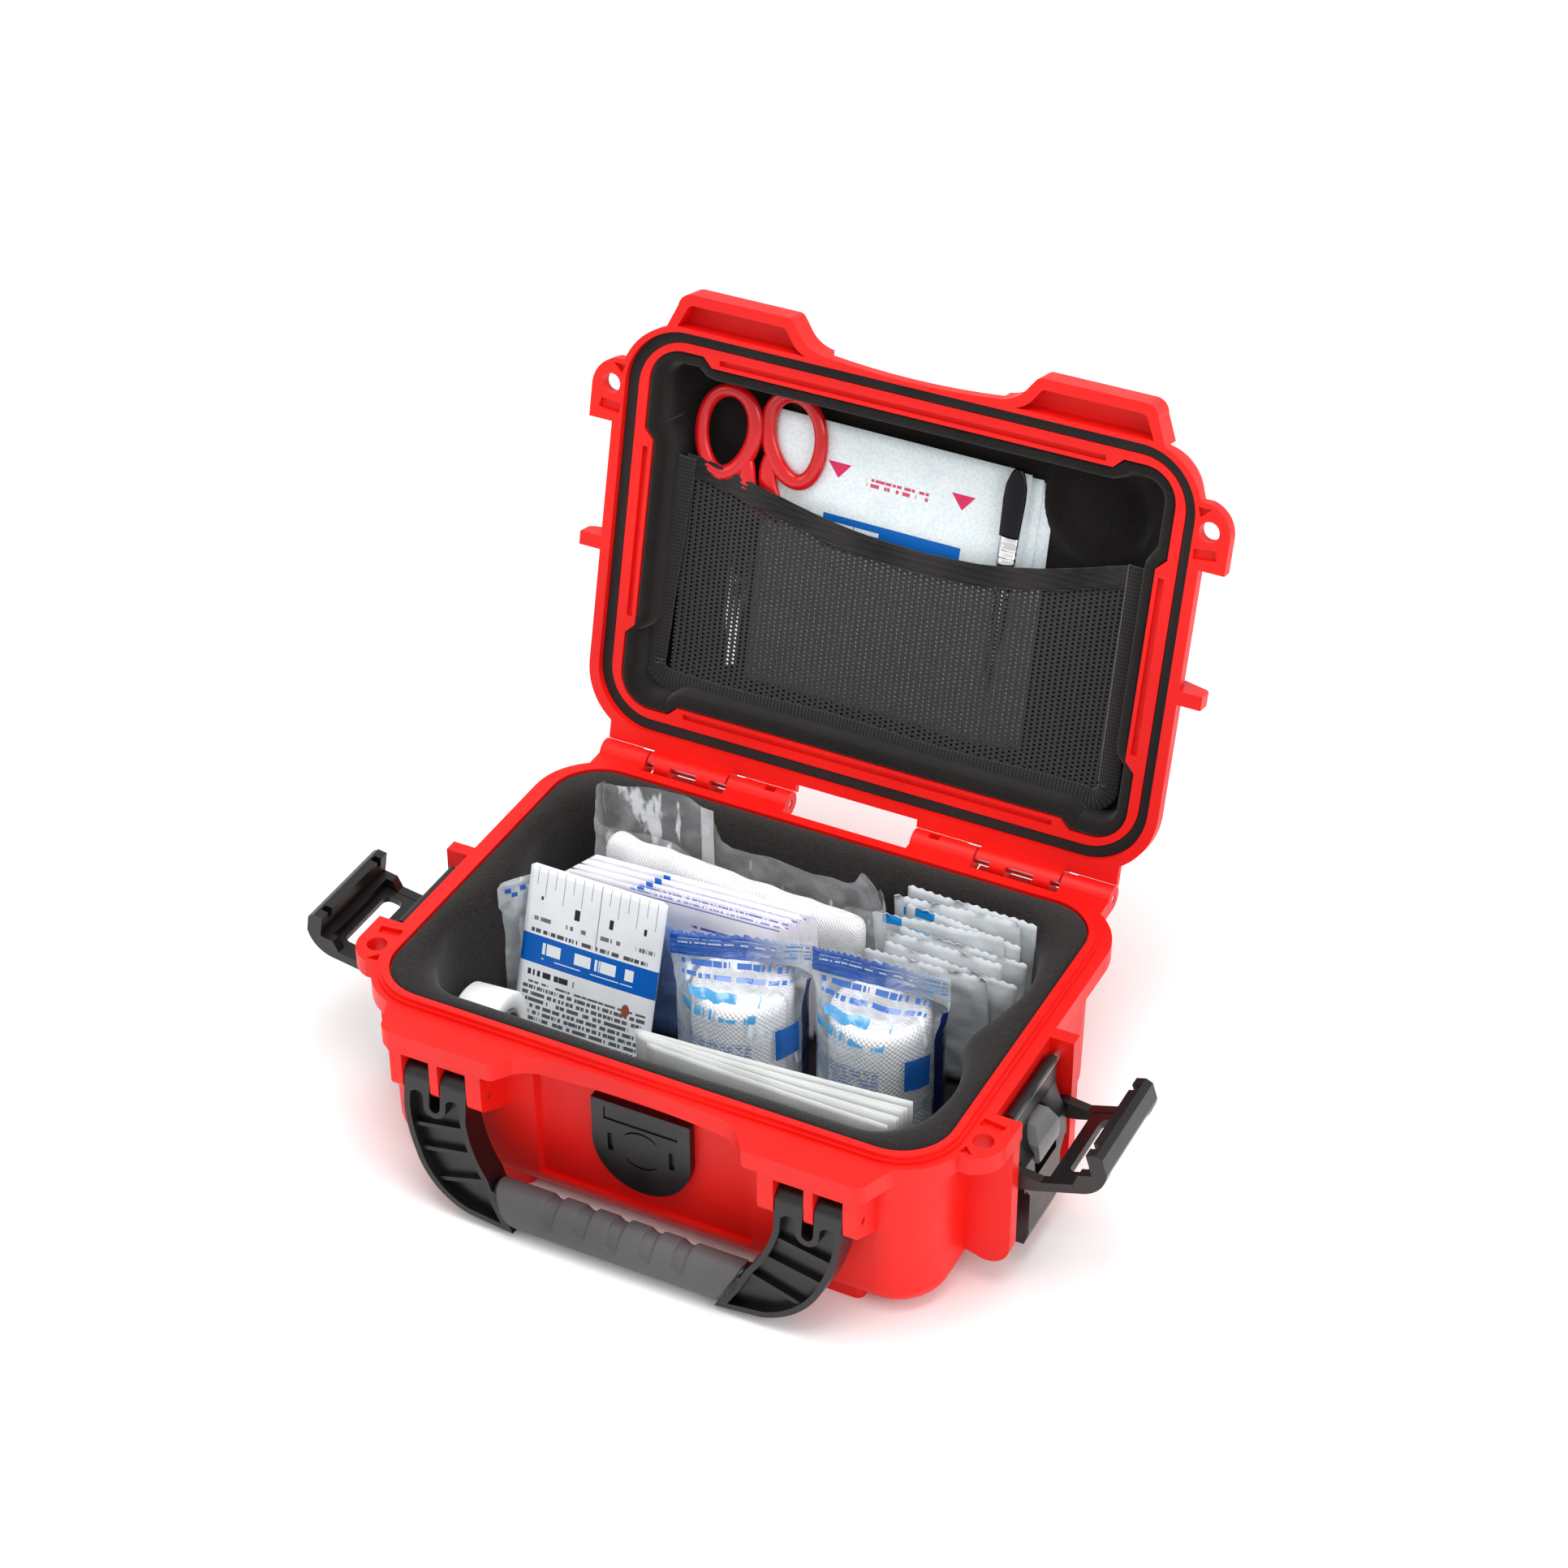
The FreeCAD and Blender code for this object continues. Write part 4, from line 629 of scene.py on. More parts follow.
def lid_lining():
    count = 320
    edge = even_loop(lid_outline(), count)
    deep = rounded(-92.0, 92.0, -61.5, 58.0, 18.0)
    inner = even_loop(deep[1:] + deep[:1], count)
    start = min(range(count), key=lambda i: (inner[i] - edge[0]).length)
    inner = inner[start:] + inner[:start]
    rings = [(loop_out(edge, -0.6), 79.6), (loop_out(edge, -0.7), 78.5),
             (loop_out(edge, -1.6), 78.1), (loop_out(edge, -3.4), 78.2),
             (loop_out(edge, -4.8), 79.0), (loop_out(edge, -5.6), 81.5),
             (loop_out(edge, -6.2), 86.0), (loop_out(edge, -6.6), 92.5)]
    last = rings[-1][0]
    first_relief = len(rings) + 1
    for share, height in ((0.3, 95.5), (0.6, 98.8), (1.0, 101.0)):
        rings.append(([a.lerp(b, share) for a, b in zip(last, inner)], height))
    for share in [0.97 - 0.025 * step for step in range(20)] + [0.4, 0.28, 0.14, 0.02]:
        rings.append(([spot * share for spot in inner], 102.0))

    def relief(x, y):
        """Raised rings pressed into the liner near its corners."""
        bump = 0.0
        for middle in (Vector((74.0, -48.0)), Vector((-74.0, -48.0))):
            far = (Vector((x, y)) - middle).length
            bump -= 2.6 * math.exp(-((far - 22.0) / 3.0) ** 2)
            bump -= 1.8 * math.exp(-(far / 15.0) ** 4)
        return bump

    points, sheet = [], []
    for number, (ring, height) in enumerate(rings):
        for spot in ring:
            z = height + (relief(spot.x, spot.y) if number >= first_relief else 0.0)
            z += 0.25 * wave(spot.x, spot.y, z, 16.0, 5.0)
            points.append((spot.x, spot.y, z))
            sheet.append((spot.x, spot.y))
    faces = grid_faces(len(rings), count, closed=True)
    piece("lid_lining", points, faces, LINING, "lid", sheet, replaces=["lid_liner"],
          slot="black_fabric", place=LID_OPEN)


base_foam()
lid_lining()


# ------------------------------------------------------------------ handle grip

def grip():
    """Soft sleeve with five finger grooves, and stepped collars at its slanted ends."""
    pin = Vector(JOINTS["handle_hinge"]["pos_m"]) * 1000.0
    swung = (Matrix.Translation(pin) @ Matrix.Rotation(math.radians(-8.0), 4, "X")
             @ Matrix.Translation(-pin))
    middle = 10.5

    def spot(along, angle, inward):
        """angle is zero at the top and grows towards the front."""
        y = -(7.9 - inward) * math.sin(angle)
        z = (8.9 - inward) * math.cos(angle)
        half = 40.0 + 11.4 * (z + middle) / 21.0
        return Vector((along * half, pin.y + y, middle + z))

    def groove(x, angle):
        depth = 0.0
        arc = 8.4 * angle
        for number in range(5):
            beyond = max(0.0, arc - 11.0, -7.0 - arc)
            away = math.hypot(x + 26.8 - 13.4 * number, beyond)
            depth = max(depth, min(1.0, max(0.0, (3.1 - away) / 1.1)))
        return 1.25 * depth * depth * (3.0 - 2.0 * depth)

    columns, around = 230, 84
    points, sheet = [], []
    steps = [(-1.0, 2.6), (-1.0, 0.7), (-0.991, 0.12)]
    steps += [(-0.985 + 1.97 * step / columns, 0.0) for step in range(columns + 1)]
    steps += [(0.991, 0.12), (1.0, 0.7), (1.0, 2.6)]
    for along, inward in steps:
        for step in range(around):
            angle = 2.0 * math.pi * step / around - math.pi
            at = spot(along, angle, inward)
            if not inward:
                at = spot(along, angle, groove(at.x, angle))
            points.append(at)
            sheet.append((at.x, angle * 8.4))
    piece("grip_sleeve", points, grid_faces(len(steps), around, closed=True), RUBBER, "handle",
          sheet, replaces=["handle_grip"], slot="grey_rubber", place=swung)
    for side in (-1.0, 1.0):
        points = []
        profile = [(-1.0, 3.2), (-1.0, 0.6), (0.9, 0.6), (1.1, 0.8), (1.1, 1.4), (2.0, 1.4),
                   (2.2, 1.6), (2.2, 2.3), (3.2, 2.3), (3.4, 3.4)]
        for shift, inward in profile:
            for step in range(around):
                at = spot(side, side * 2.0 * math.pi * step / around, inward)
                points.append(at + Vector((side * shift, 0.0, 0.0)))
        piece("grip_collar_" + ("left" if side < 0 else "right"), points,
              grid_faces(len(profile), around, closed=True), BLACK, "handle",
              slot="black_plastic", place=swung)


grip()


# ------------------------------------------------------------------ lid pocket

def pocket_top(x):
    """The sagging upper edge of the pocket, in the closed lid."""
    if x < 5.0:
        share = max(0.0, min(1.0, (x + 93.0) / 98.0))
        return -26.0 + 15.5 * math.sin(share * math.pi / 2.0) ** 1.1
    share = max(0.0, min(1.0, (x - 5.0) / 85.0))
    return -10.5 - 15.5 * (1.0 - math.cos(share * math.pi / 2.0)) ** 1.2


def pocket_depth(x, y):
    """How far the pocket stands off the liner: it bulges over what it holds."""
    middle = math.exp(-((x - 2.0) / 52.0) ** 4) * math.exp(-((y - 12.0) / 42.0) ** 4)
    scissors = math.exp(-((x + 64.0) / 12.0) ** 2) * math.exp(-((y - 8.0) / 34.0) ** 2)
    edge = math.exp(-max(0.0, 92.0 - abs(x)) / 5.0) + math.exp(-max(0.0, 62.0 - y) / 5.0)
    base = 93.2 - 1.6 * middle - 1.2 * scissors - 2.2 * min(1.0, edge)
    folds = 0.5 * wave(x, y * 0.35, 0.0, 13.0, 9.0) + 0.25 * wave(x * 1.5, y, 0.0, 7.0, 3.0)
    return base + folds


def pocket():
    columns, rows = 120, 70
    points, sheet = [], []
    for row in range(rows + 1):
        for column in range(columns + 1):
            x = -93.0 + 184.0 * column / columns
            top = pocket_top(x) + 3.0
            y = top + (63.0 - top) * row / rows
            points.append((x, y, pocket_depth(x, y)))
            sheet.append((x, -y))
    cloth = piece("pocket_mesh_panel", points, grid_faces(rows + 1, columns + 1), MESH, "lid",
                  sheet, replaces=["pocket_mesh"], slot="black_fabric", place=LID_OPEN)
    thick(cloth, 0.25)
    points, sheet = [], []
    for row in range(15):
        for column in range(columns + 1):
            x = -94.0 + 186.0 * column / columns
            share = row / 14
            y = pocket_top(x) - 4.2 + 8.6 * share
            ridge = 0.28 * math.cos(share * 10.0 * math.pi) if share < 0.72 else 0.35
            if 0.72 < share < 0.8:
                ridge = -0.3
            points.append((x, y, pocket_depth(x, y) - 0.9 + ridge))
            sheet.append((x, y))
    band = piece("pocket_elastic", points, grid_faces(15, columns + 1), ELASTIC, "lid", sheet,
                 replaces=["pocket_band"], slot="black_fabric", place=LID_OPEN)
    thick(band, 0.9)
    path = []
    for step in range(30):
        path.append(Vector((-94.5 - 4.5 * step / 29, -29.0 + 86.5 * step / 29)))
    for step in range(9):
        angle = math.pi - math.pi / 2.0 * step / 8
        path.append(Vector((-91.5 + 7.5 * math.cos(angle), 57.5 + 6.0 * math.sin(angle))))
    for step in range(1, 60):
        path.append(Vector((-91.5 + 180.0 * step / 60, 63.5 + 0.6 * math.sin(step * 0.2))))
    for step in range(9):
        angle = math.pi / 2.0 - math.pi / 2.0 * step / 8
        path.append(Vector((88.5 + 6.5 * math.cos(angle), 57.5 + 6.0 * math.sin(angle))))
    for step in range(30):
        path.append(Vector((95.0 - 1.0 * step / 29, 57.5 - 88.5 * step / 29)))
    points, sheet = [], []
    travelled = 0.0
    for index, spot in enumerate(path):
        before = path[max(0, index - 1)]
        after = path[min(len(path) - 1, index + 1)]
        travelled += (spot - before).length
        normal = Vector(((after - before).y, -(after - before).x)).normalized()
        for step in range(9):
            across = (step / 8 - 0.5) * 8.4
            at = spot + normal * across
            z = 90.0 - 0.8 * math.cos(across / 8.4 * math.pi)
            z += 0.35 * wave(at.x, at.y, 0.0, 5.0, 8.0)
            points.append((at.x, at.y, z))
            sheet.append((travelled, across))
    tape = piece("pocket_edge_tape", points, grid_faces(len(path), 9), BINDING, "lid", sheet,
                 replaces=["pocket_binding"], slot="black_fabric", place=LID_OPEN)
    thick(tape, 0.8)


pocket()


# ------------------------------------------------------------------ lid contents

def tube(name, path, widths, heights, material, body, closed=False, around=16, **extra):
    """A rounded bar along a flat path of (x, y, z) points, with its own width and height."""
    points, sheet = [], []
    count = len(path)
    for index, spot in enumerate(path):
        before = path[index - 1] if closed or index else path[0]
        after = path[(index + 1) % count] if closed or index + 1 < count else path[-1]
        along = (Vector(after) - Vector(before)).normalized()
        side = Vector((along.y, -along.x, 0.0)).normalized()
        for step in range(around):
            angle = 2.0 * math.pi * step / around
            shift = side * (widths[index] * 0.5 * math.cos(angle))
            up = Vector((0.0, 0.0, heights[index] * 0.5 * math.sin(angle)))
            points.append(Vector(spot) + shift + up)
            sheet.append((index, step))
    faces = grid_faces(count, around, closed=True)
    if closed:
        for step in range(around):
            follow = (step + 1) % around
            low = (count - 1) * around
            faces.append((low + step, low + follow, follow, step))
    else:
        faces.append(tuple(range(around)))
        faces.append(tuple((count - 1) * around + step for step in reversed(range(around))))
    return piece(name, points, faces, material, body, sheet, **extra)


def scissors():
    """Moulded finger loops and shanks, one pair on each half."""
    halves = (("left", "lid", Vector((-80.0, -41.5)), 93.6, -1.0, 6.0),
              ("right", "scissors_right", Vector((-52.4, -44.5)), 95.9, 1.0, -12.0))
    for name, body, middle, height, side, tilt in halves:
        path, widths, heights = [], [], []
        for step in range(56):
            angle = 2.0 * math.pi * step / 56
            spot = Vector((11.2 * math.cos(angle) * (1.0 - 0.12 * math.sin(angle)),
                           17.0 * math.sin(angle)))
            spot.rotate(Matrix.Rotation(math.radians(tilt), 2))
            path.append((middle.x + spot.x, middle.y + spot.y, height))
            thickness = 5.6 + 1.2 * max(0.0, -side * math.cos(angle)) + 1.0 * max(
                0.0, math.sin(angle))
            widths.append(thickness)
            heights.append(4.8)
        loop = tube("scissors_loop_" + name, path, widths, heights, SCISSOR_RED, body,
                    closed=True, replaces=["scissors_handle_" + name],
                    slot="scissors_red", place=LID_OPEN)
        smoothed(loop)
        inner = middle.x - side * 9.6
        path = [(inner + side * 1.5, middle.y + 4.0, height),
                (inner - side * 0.4, middle.y + 12.0, height),
                (inner - side * 0.6, middle.y + 20.0, height),
                (-62.0 + side * 3.8, -17.0, height + 0.3),
                (-62.0 + side * 3.4, -12.0, height + 1.0),
                (-62.0 + side * 2.8, -9.0, height + 1.2)]
        shank = tube("scissors_shank_" + name, path, [4.0, 7.4, 8.2, 7.6, 6.8, 5.8],
                     [4.0, 4.8, 4.8, 4.0, 2.8, 2.4], SCISSOR_RED, body,
                     slot="scissors_red", place=LID_OPEN)
        smoothed(shank, 2)


def tweezers():
    """Flat black grip with a rounded point above a ridged steel body."""
    outline = [(-0.6, 0.0), (-2.6, 2.6), (-4.0, 6.6), (-4.3, 12.0), (-4.0, 20.0), (-3.7, 27.0)]
    for label, start, end, material in (("grip", 0, 27.0, DARK_STEEL),
                                        ("body", 27.0, 92.0, POLISHED)):
        points, sheet = [], []
        rows = 60 if label == "body" else 34
        for row in range(rows + 1):
            y = start + (end - start) * row / rows
            half = 3.7
            for (first, low), (second, high) in zip(outline, outline[1:]):
                if low <= y <= high:
                    half = -(first + (second - first) * (y - low) / (high - low))
            if label == "body":
                half = 3.8 if y < 60.0 else 3.8 - 3.0 * (y - 60.0) / 32.0
                half = max(half, 0.7)
            rib = 0.0
            if label == "body" and 31.0 < y < 50.0:
                rib = 0.35 * (1.0 if (y % 1.7) < 0.85 else -0.4)
            for step in range(9):
                across = (step / 8 - 0.5) * 2.0
                dome = 0.9 * (1.0 - across * across)
                points.append((41.0 + across * half - 1.5 * (y / 90.0), -55.5 + y,
                               93.7 - dome - rib))
                sheet.append((across * half, y))
        made = piece("tweezers_" + label, points, grid_faces(rows + 1, 9), material,
                     "tweezers", sheet, slot="steel", place=LID_OPEN,
                     replaces=["tweezers"] if label == "body" else ())
        thick(made, 0.9, 1.0)


def pouch_marks(made):
    """A pale pebbled border, arrow heads and a plain blue label."""
    across, up = made.uv()
    dots = made.node("ShaderNodeTexVoronoi", Vector=made.place("UV"), Scale=0.9)
    border = made.math("SUBTRACT", 1.0, made.patch(32.0, 84.0, 0.0, 74.0))
    border = made.math("MULTIPLY", border, made.math("GREATER_THAN", up, 66.0))
    dotted = made.math("MULTIPLY", border, made.ramp(dots.outputs["Distance"], 0.7, 0.15,
                                                     0.1, 0.6))
    marks = [(dotted, linear(190, 222, 230))]
    for middle in (30.0, 82.0):
        level = made.math("SUBTRACT", 97.0, up)
        reach = made.math("SUBTRACT", 5.0, made.math("MULTIPLY", level, 0.8))
        away = made.math("ABSOLUTE", made.math("SUBTRACT", across, middle))
        arrow = made.math("MULTIPLY", made.math("LESS_THAN", away, reach),
                          made.inside(level, 0.0, 6.0))
        marks.append((arrow, linear(214, 40, 92)))
    marks.append((made.dashes(42.0, 68.0, 90.5, 94.0, 3.2, 3.0, 0.75), linear(206, 70, 110)))
    marks.append((made.patch(25.7, 83.7, 62.0, 76.0), linear(8, 104, 196)))
    marks.append((made.dashes(29.0, 52.0, 70.0, 73.5, 3.4, 8.0, 0.5), linear(240, 246, 250)))
    return marks


def pouches():
    sealed = paper("pouch_paper", (246, 248, 249), 0.5, pouch_marks, 0.35)
    for number in range(4):
        shift = number * 5.2
        level = 101.2 - 1.05 * (3 - number)
        sheet = packet("dressing_pouch_sheet_%d" % (number + 1), 103.0, 112.0 - number * 1.5,
                       0.8, in_lid(-12.7 + shift, 58.0, level, 0.5 - number * 0.35), sealed,
                       "dressing_pouches", margin=9.0, seed=float(number), wrinkle=0.12,
                       replaces=["dressing_pouch_%d" % (number + 1)], slot="white_paper")
        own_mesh(sheet)


scissors()
tweezers()
pouches()


# ------------------------------------------------------------------ base contents

def card_marks(made):
    """Ruler ticks, size marks, a blue band and rows of bars in place of words."""
    across, up = made.uv()
    top = 75.0
    marks = []
    dark = linear(40, 40, 44)
    for number in range(14):
        left = 3.6 + number * 3.9
        length = (8.0, 12.5, 8.5, 13.5)[number % 4]
        if number == 7:
            length = 26.0
        marks.append((made.patch(left, left + (0.32 if number == 7 else 0.22), top - length,
                                 top - 1.0), linear(90, 92, 96)))
    for left, drop, wide, tall in ((6.0, 13.0, 1.0, 1.5), (20.8, 15.5, 2.3, 4.3),
                                   (35.6, 15.0, 1.7, 3.8), (50.0, 14.0, 1.2, 2.6)):
        marks.append((made.patch(left, left + wide, top - drop - tall * 0.5,
                                 top - drop + tall * 0.5), dark))
        marks.append((made.dashes(left - 3.0, left + 5.5, top - 22.4, top - 20.0, 2.4, left,
                                  0.7), linear(110, 112, 118)))
    marks.append((made.dashes(2.5, 54.0, top - 27.0, top - 25.4, 2.0, 5.0, 0.8),
                  linear(80, 80, 86)))
    marks.append((made.patch(0.0, 58.0, top - 39.4, top - 28.0), linear(6, 96, 190)))
    marks.append((made.dashes(9.0, 48.0, top - 37.0, top - 30.4, 8.0, 11.0, 0.8), linear(240, 244, 248)))
    marks.append((made.dashes(2.5, 24.0, top - 45.4, top - 42.0, 3.4, 2.0, 0.7), dark))
    marks.append((made.dashes(2.5, 55.0, top - 66.0, top - 46.6, 2.5, 9.0, 0.6), linear(92, 94, 100)))
    side = made.math("DIVIDE", made.math("SUBTRACT", across, 46.5), 1.7)
    rise = made.math("DIVIDE", made.math("SUBTRACT", up, top - 47.0), 2.6)
    spot = made.math("LESS_THAN", made.math("ADD", made.math("MULTIPLY", side, side),
                                            made.math("MULTIPLY", rise, rise)), 1.0)
    marks.append((spot, linear(150, 84, 62)))
    return marks


def strip_marks(made):
    ink = linear(104, 108, 186)
    return [(made.patch(4.0, 94.0, 51.6, 52.1), ink),
            (made.dashes(3.0, 40.0, 46.5, 50.5, 4.0, 1.0, 0.6), linear(140, 146, 206)),
            (made.dashes(30.0, 96.0, 53.0, 54.6, 1.7, 6.0, 0.7), linear(150, 154, 208)),
            (made.patch(33.0, 36.0, 54.0, 56.6), linear(10, 98, 196)),
            (made.dashes(56.0, 92.0, 41.0, 44.4, 3.6, 12.0, 0.6), linear(96, 100, 182))]


def foil_marks(made):
    return [(made.patch(4.0, 12.0, 53.6, 57.1), linear(0, 122, 190))]


def wrapper_marks(made):
    """Blue print of a flow-wrapped roll; the sheet runs round it, zero at the front."""
    across = made.uv()[0]
    streak = made.noise(9.0, 3.0, "UV", stretch=(0.02, 0.6, 1.0))
    faded = made.ramp(across, 1.0, 0.2, 0.0, 22.0)
    crimp = made.math("MULTIPLY", made.patch(-40.0, 20.0, 60.5, 72.0),
                      made.math("MULTIPLY", faded, made.ramp(streak, 0.8, 1.0, 0.3, 0.5)))
    return [(made.patch(24.0, 62.0, -2.0, 56.0), linear(14, 30, 84)),
            (crimp, linear(0, 82, 178)),
            (made.dashes(-22.0, 10.0, 66.2, 68.4, 2.2, 4.0, 0.5), linear(225, 238, 250)),
            (made.dashes(12.0, 26.0, 62.0, 70.0, 1.7, 14.0, 0.5), linear(96, 150, 214)),
            (made.dashes(-20.0, 16.0, 55.0, 61.0, 3.4, 21.0, 0.5), linear(8, 92, 182)),
            (made.patch(12.0, 22.0, 27.0, 41.0), linear(0, 96, 186)),
            (made.dashes(-20.0, 6.0, 44.0, 53.0, 4.6, 7.0, 0.6), linear(58, 150, 205)),
            (made.dashes(-26.0, 4.0, 24.0, 36.0, 1.7, 17.0, 0.5), linear(120, 150, 196)),
            (made.patch(-18.0, 14.0, 8.0, 11.0), linear(10, 100, 186))]


def roll_of_gauze(name, centre, body, node):
    """A wound roll with a soft domed top and a spiral end."""
    count, points, sheet = 64, [], []
    rings = [(0.3, 0.0), (18.2, 0.0), (19.0, 1.0)]
    rings += [(19.0 + 0.15 * math.sin(step * 1.7), 4.0 + 43.5 * step / 12) for step in range(13)]
    rings += [(18.4, 50.0), (17.0, 51.0)]
    rings += [(17.0 - 1.55 * step, 51.0 + (0.35 if step % 2 else -0.1)) for step in range(1, 11)]
    rings += [(0.3, 50.2)]
    for radius, height in rings:
        for step in range(count):
            angle = 2.0 * math.pi * step / count
            x = centre[0] + radius * math.cos(angle)
            y = centre[1] + radius * math.sin(angle)
            swell = 0.35 * wave(x, y, height, 9.0, 6.0)
            points.append((x + swell, y + swell, 18.1 + height))
            sheet.append((angle * 19.0, height))
    piece(name, points, grid_faces(len(rings), count, closed=True), GAUZE, body, sheet,
          replaces=[node], slot="white_gauze")


def flow_wrap(name, centre, turn, body, node, seed):
    """Film round a roll, gathered to a flat ribbed crimp with a toothed edge."""
    wrap = film("film_" + name, (232, 242, 250), 0.1, wrapper_marks, 0.55)
    count, points, sheet = 112, [], []
    levels = ([0.0, 2.0, 8.0, 16.0, 24.0, 32.0, 40.0, 46.0, 50.0, 52.5, 55.0, 57.0, 59.0, 61.0]
              + [62.5 + 0.85 * step for step in range(11)])
    for level in levels:
        gather = max(0.0, min(1.0, (level - 46.0) / 15.0))
        gather = gather * gather * (3.0 - 2.0 * gather)
        for step in range(count):
            angle = 2.0 * math.pi * step / count
            c, s = math.cos(angle), math.sin(angle)
            reach = 24.6 + 2.0 * gather
            depth = 19.9 * (1.0 - gather) + 0.5 * gather
            x = reach * math.copysign(abs(c) ** 0.85, c)
            y = depth * math.copysign(abs(s) ** (1.0 + 0.25 * (1.0 - gather)), s)
            loose = 0.9 + 1.5 * math.sin(math.pi * gather)
            x += loose * 0.5 * wave(x, y, level * 1.4, 9.0, seed)
            y += loose * wave(x * 1.6, level, y, 7.0, seed + 3.0) * (1.0 - 0.6 * gather)
            height = level
            if level > 62.0:
                y += 0.35 * math.sin(level * 2.6) + 1.2 * wave(x, 0.0, level * 0.3, 14.0, seed)
                if level > 70.5:
                    height += 0.7 * (1.0 if step % 2 else -1.0)
            points.append((x, y, height))
            sheet.append((((angle + math.pi / 2.0 + math.pi) % (2.0 * math.pi) - math.pi) * 20.5,
                          level))
    piece(name, points, grid_faces(len(levels), count, closed=True), wrap, body, sheet,
          replaces=[node], slot="clear_film", place=stand(centre[0], centre[1], 18.4, turn))


def tape():
    """White tape wound on a grey core; the axis runs along X."""
    for name, radii, material, node, slot in (
            ("tape_winding", (12.7, 19.5), paper("tape_white", (240, 241, 242), 0.7, None, 0.15),
             "tape_roll", "white_gauze"),
            ("tape_spool", (11.1, 12.5), GREY, "tape_core", "grey_plastic")):
        low, high = radii
        soft = 0.9 if name == "tape_winding" else 0.3
        half = 8.7
        ring = [(low, soft - half), (low + soft, -half)]
        steps = 12 if name == "tape_winding" else 2
        for step in range(1, steps):
            radius = low + soft + (high - low - 2.0 * soft) * step / steps
            ring.append((radius, -half - (0.12 if step % 2 else 0.0)))
        ring += [(high - soft, -half), (high, soft - half), (high, 0.0), (high, half - soft),
                 (high - soft, half), (low + soft, half), (low, half - soft)]
        count, points, sheet = 72, [], []
        for radius, x in ring:
            for step in range(count):
                angle = 2.0 * math.pi * step / count
                points.append((x, radius * math.cos(angle), radius * math.sin(angle)))
                sheet.append((angle * 19.0, x))
        faces = grid_faces(len(ring), count, closed=True)
        end = (len(ring) - 1) * count
        for step in range(count):
            follow = (step + 1) % count
            faces.append((end + step, end + follow, follow, step))
        piece(name, points, faces, material, "tape", sheet, replaces=[node], slot=slot,
              place=(Matrix.Translation((-84.5, -45.5, 37.3))
                     @ Matrix.Rotation(math.radians(5.0), 4, "Z")))


def swollen(size, voxel, cap, pressure=4.0, steps=20):
    """A block of padded cloth, blown up by a cloth simulation; no point moves past the cap.
"""
    build = bmesh.new()
    bmesh.ops.create_cube(build, size=1.0)
    for vertex in build.verts:
        vertex.co = Vector(vertex.co[axis] * size[axis] * 0.001 for axis in range(3))
    mesh = bpy.data.meshes.new("swelling")
    build.to_mesh(mesh)
    build.free()
    made = bpy.data.objects.new("swelling", mesh)
    bpy.context.scene.collection.objects.link(made)
    remesh = made.modifiers.new("voxels", "REMESH")
    remesh.mode = "VOXEL"
    remesh.voxel_size = voxel * 0.001

    def result():
        graph = bpy.context.evaluated_depsgraph_get()
        return bpy.data.meshes.new_from_object(made.evaluated_get(graph))

    start = result()
    made.modifiers.clear()
    made.data = start
    before = [vertex.co.copy() for vertex in start.vertices]
    faces = [tuple(face.vertices) for face in start.polygons]
    after = before
    cloth = made.modifiers.new("cloth", "CLOTH")
    cloth.settings.use_pressure = True
    cloth.settings.uniform_pressure_force = pressure
    cloth.settings.effector_weights.gravity = 0.0
    for number in range(1, steps + 1):
        bpy.context.scene.frame_set(number)
    after = [vertex.co.copy() for vertex in result().vertices]
    bpy.context.scene.frame_set(1)
    points = []
    for first, last in zip(before, after):
        moved = (last - first) * 1000.0
        if moved.length > cap:
            moved *= cap / moved.length
        points.append(first * 1000.0 + moved)
    bpy.data.objects.remove(made)
    return points, faces


def soft_pad():
    """The folded dressing inside the clear bag: simulated cloth with gathers along its top."""
    swell, faces = swollen((110.0, 10.5, 54.0), 4.0, 4.5)
    points = []
    half = 30.0
    for point in swell:
        point.z -= (point.z + half) / (2.0 * half) * point.x * 0.06
        gather = max(0.0, point.z / half + 0.1)
        point.z += 1.5 * gather * wave(point.x, point.y * 0.6, 0.0, 7.0, 11.0)
        point.y += 1.3 * gather * wave(point.x, 0.0, point.z * 0.25, 5.5, 12.0)
        points.append(point + Vector((-23.0, 39.2, 49.4)))
    sheet = [(point.x, point.z) for point in points]
    pad = piece("padded_dressing", points, faces, PAD, "bandage_bag", sheet,
                replaces=["padded_bandage"], slot="white_gauze")
    smoothed(pad, 1)


def fold_under_lid(made):
    """The film is taller than the closed case; this gives the piece a mesh of its own and does not press
    it down.
    """
    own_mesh(made)


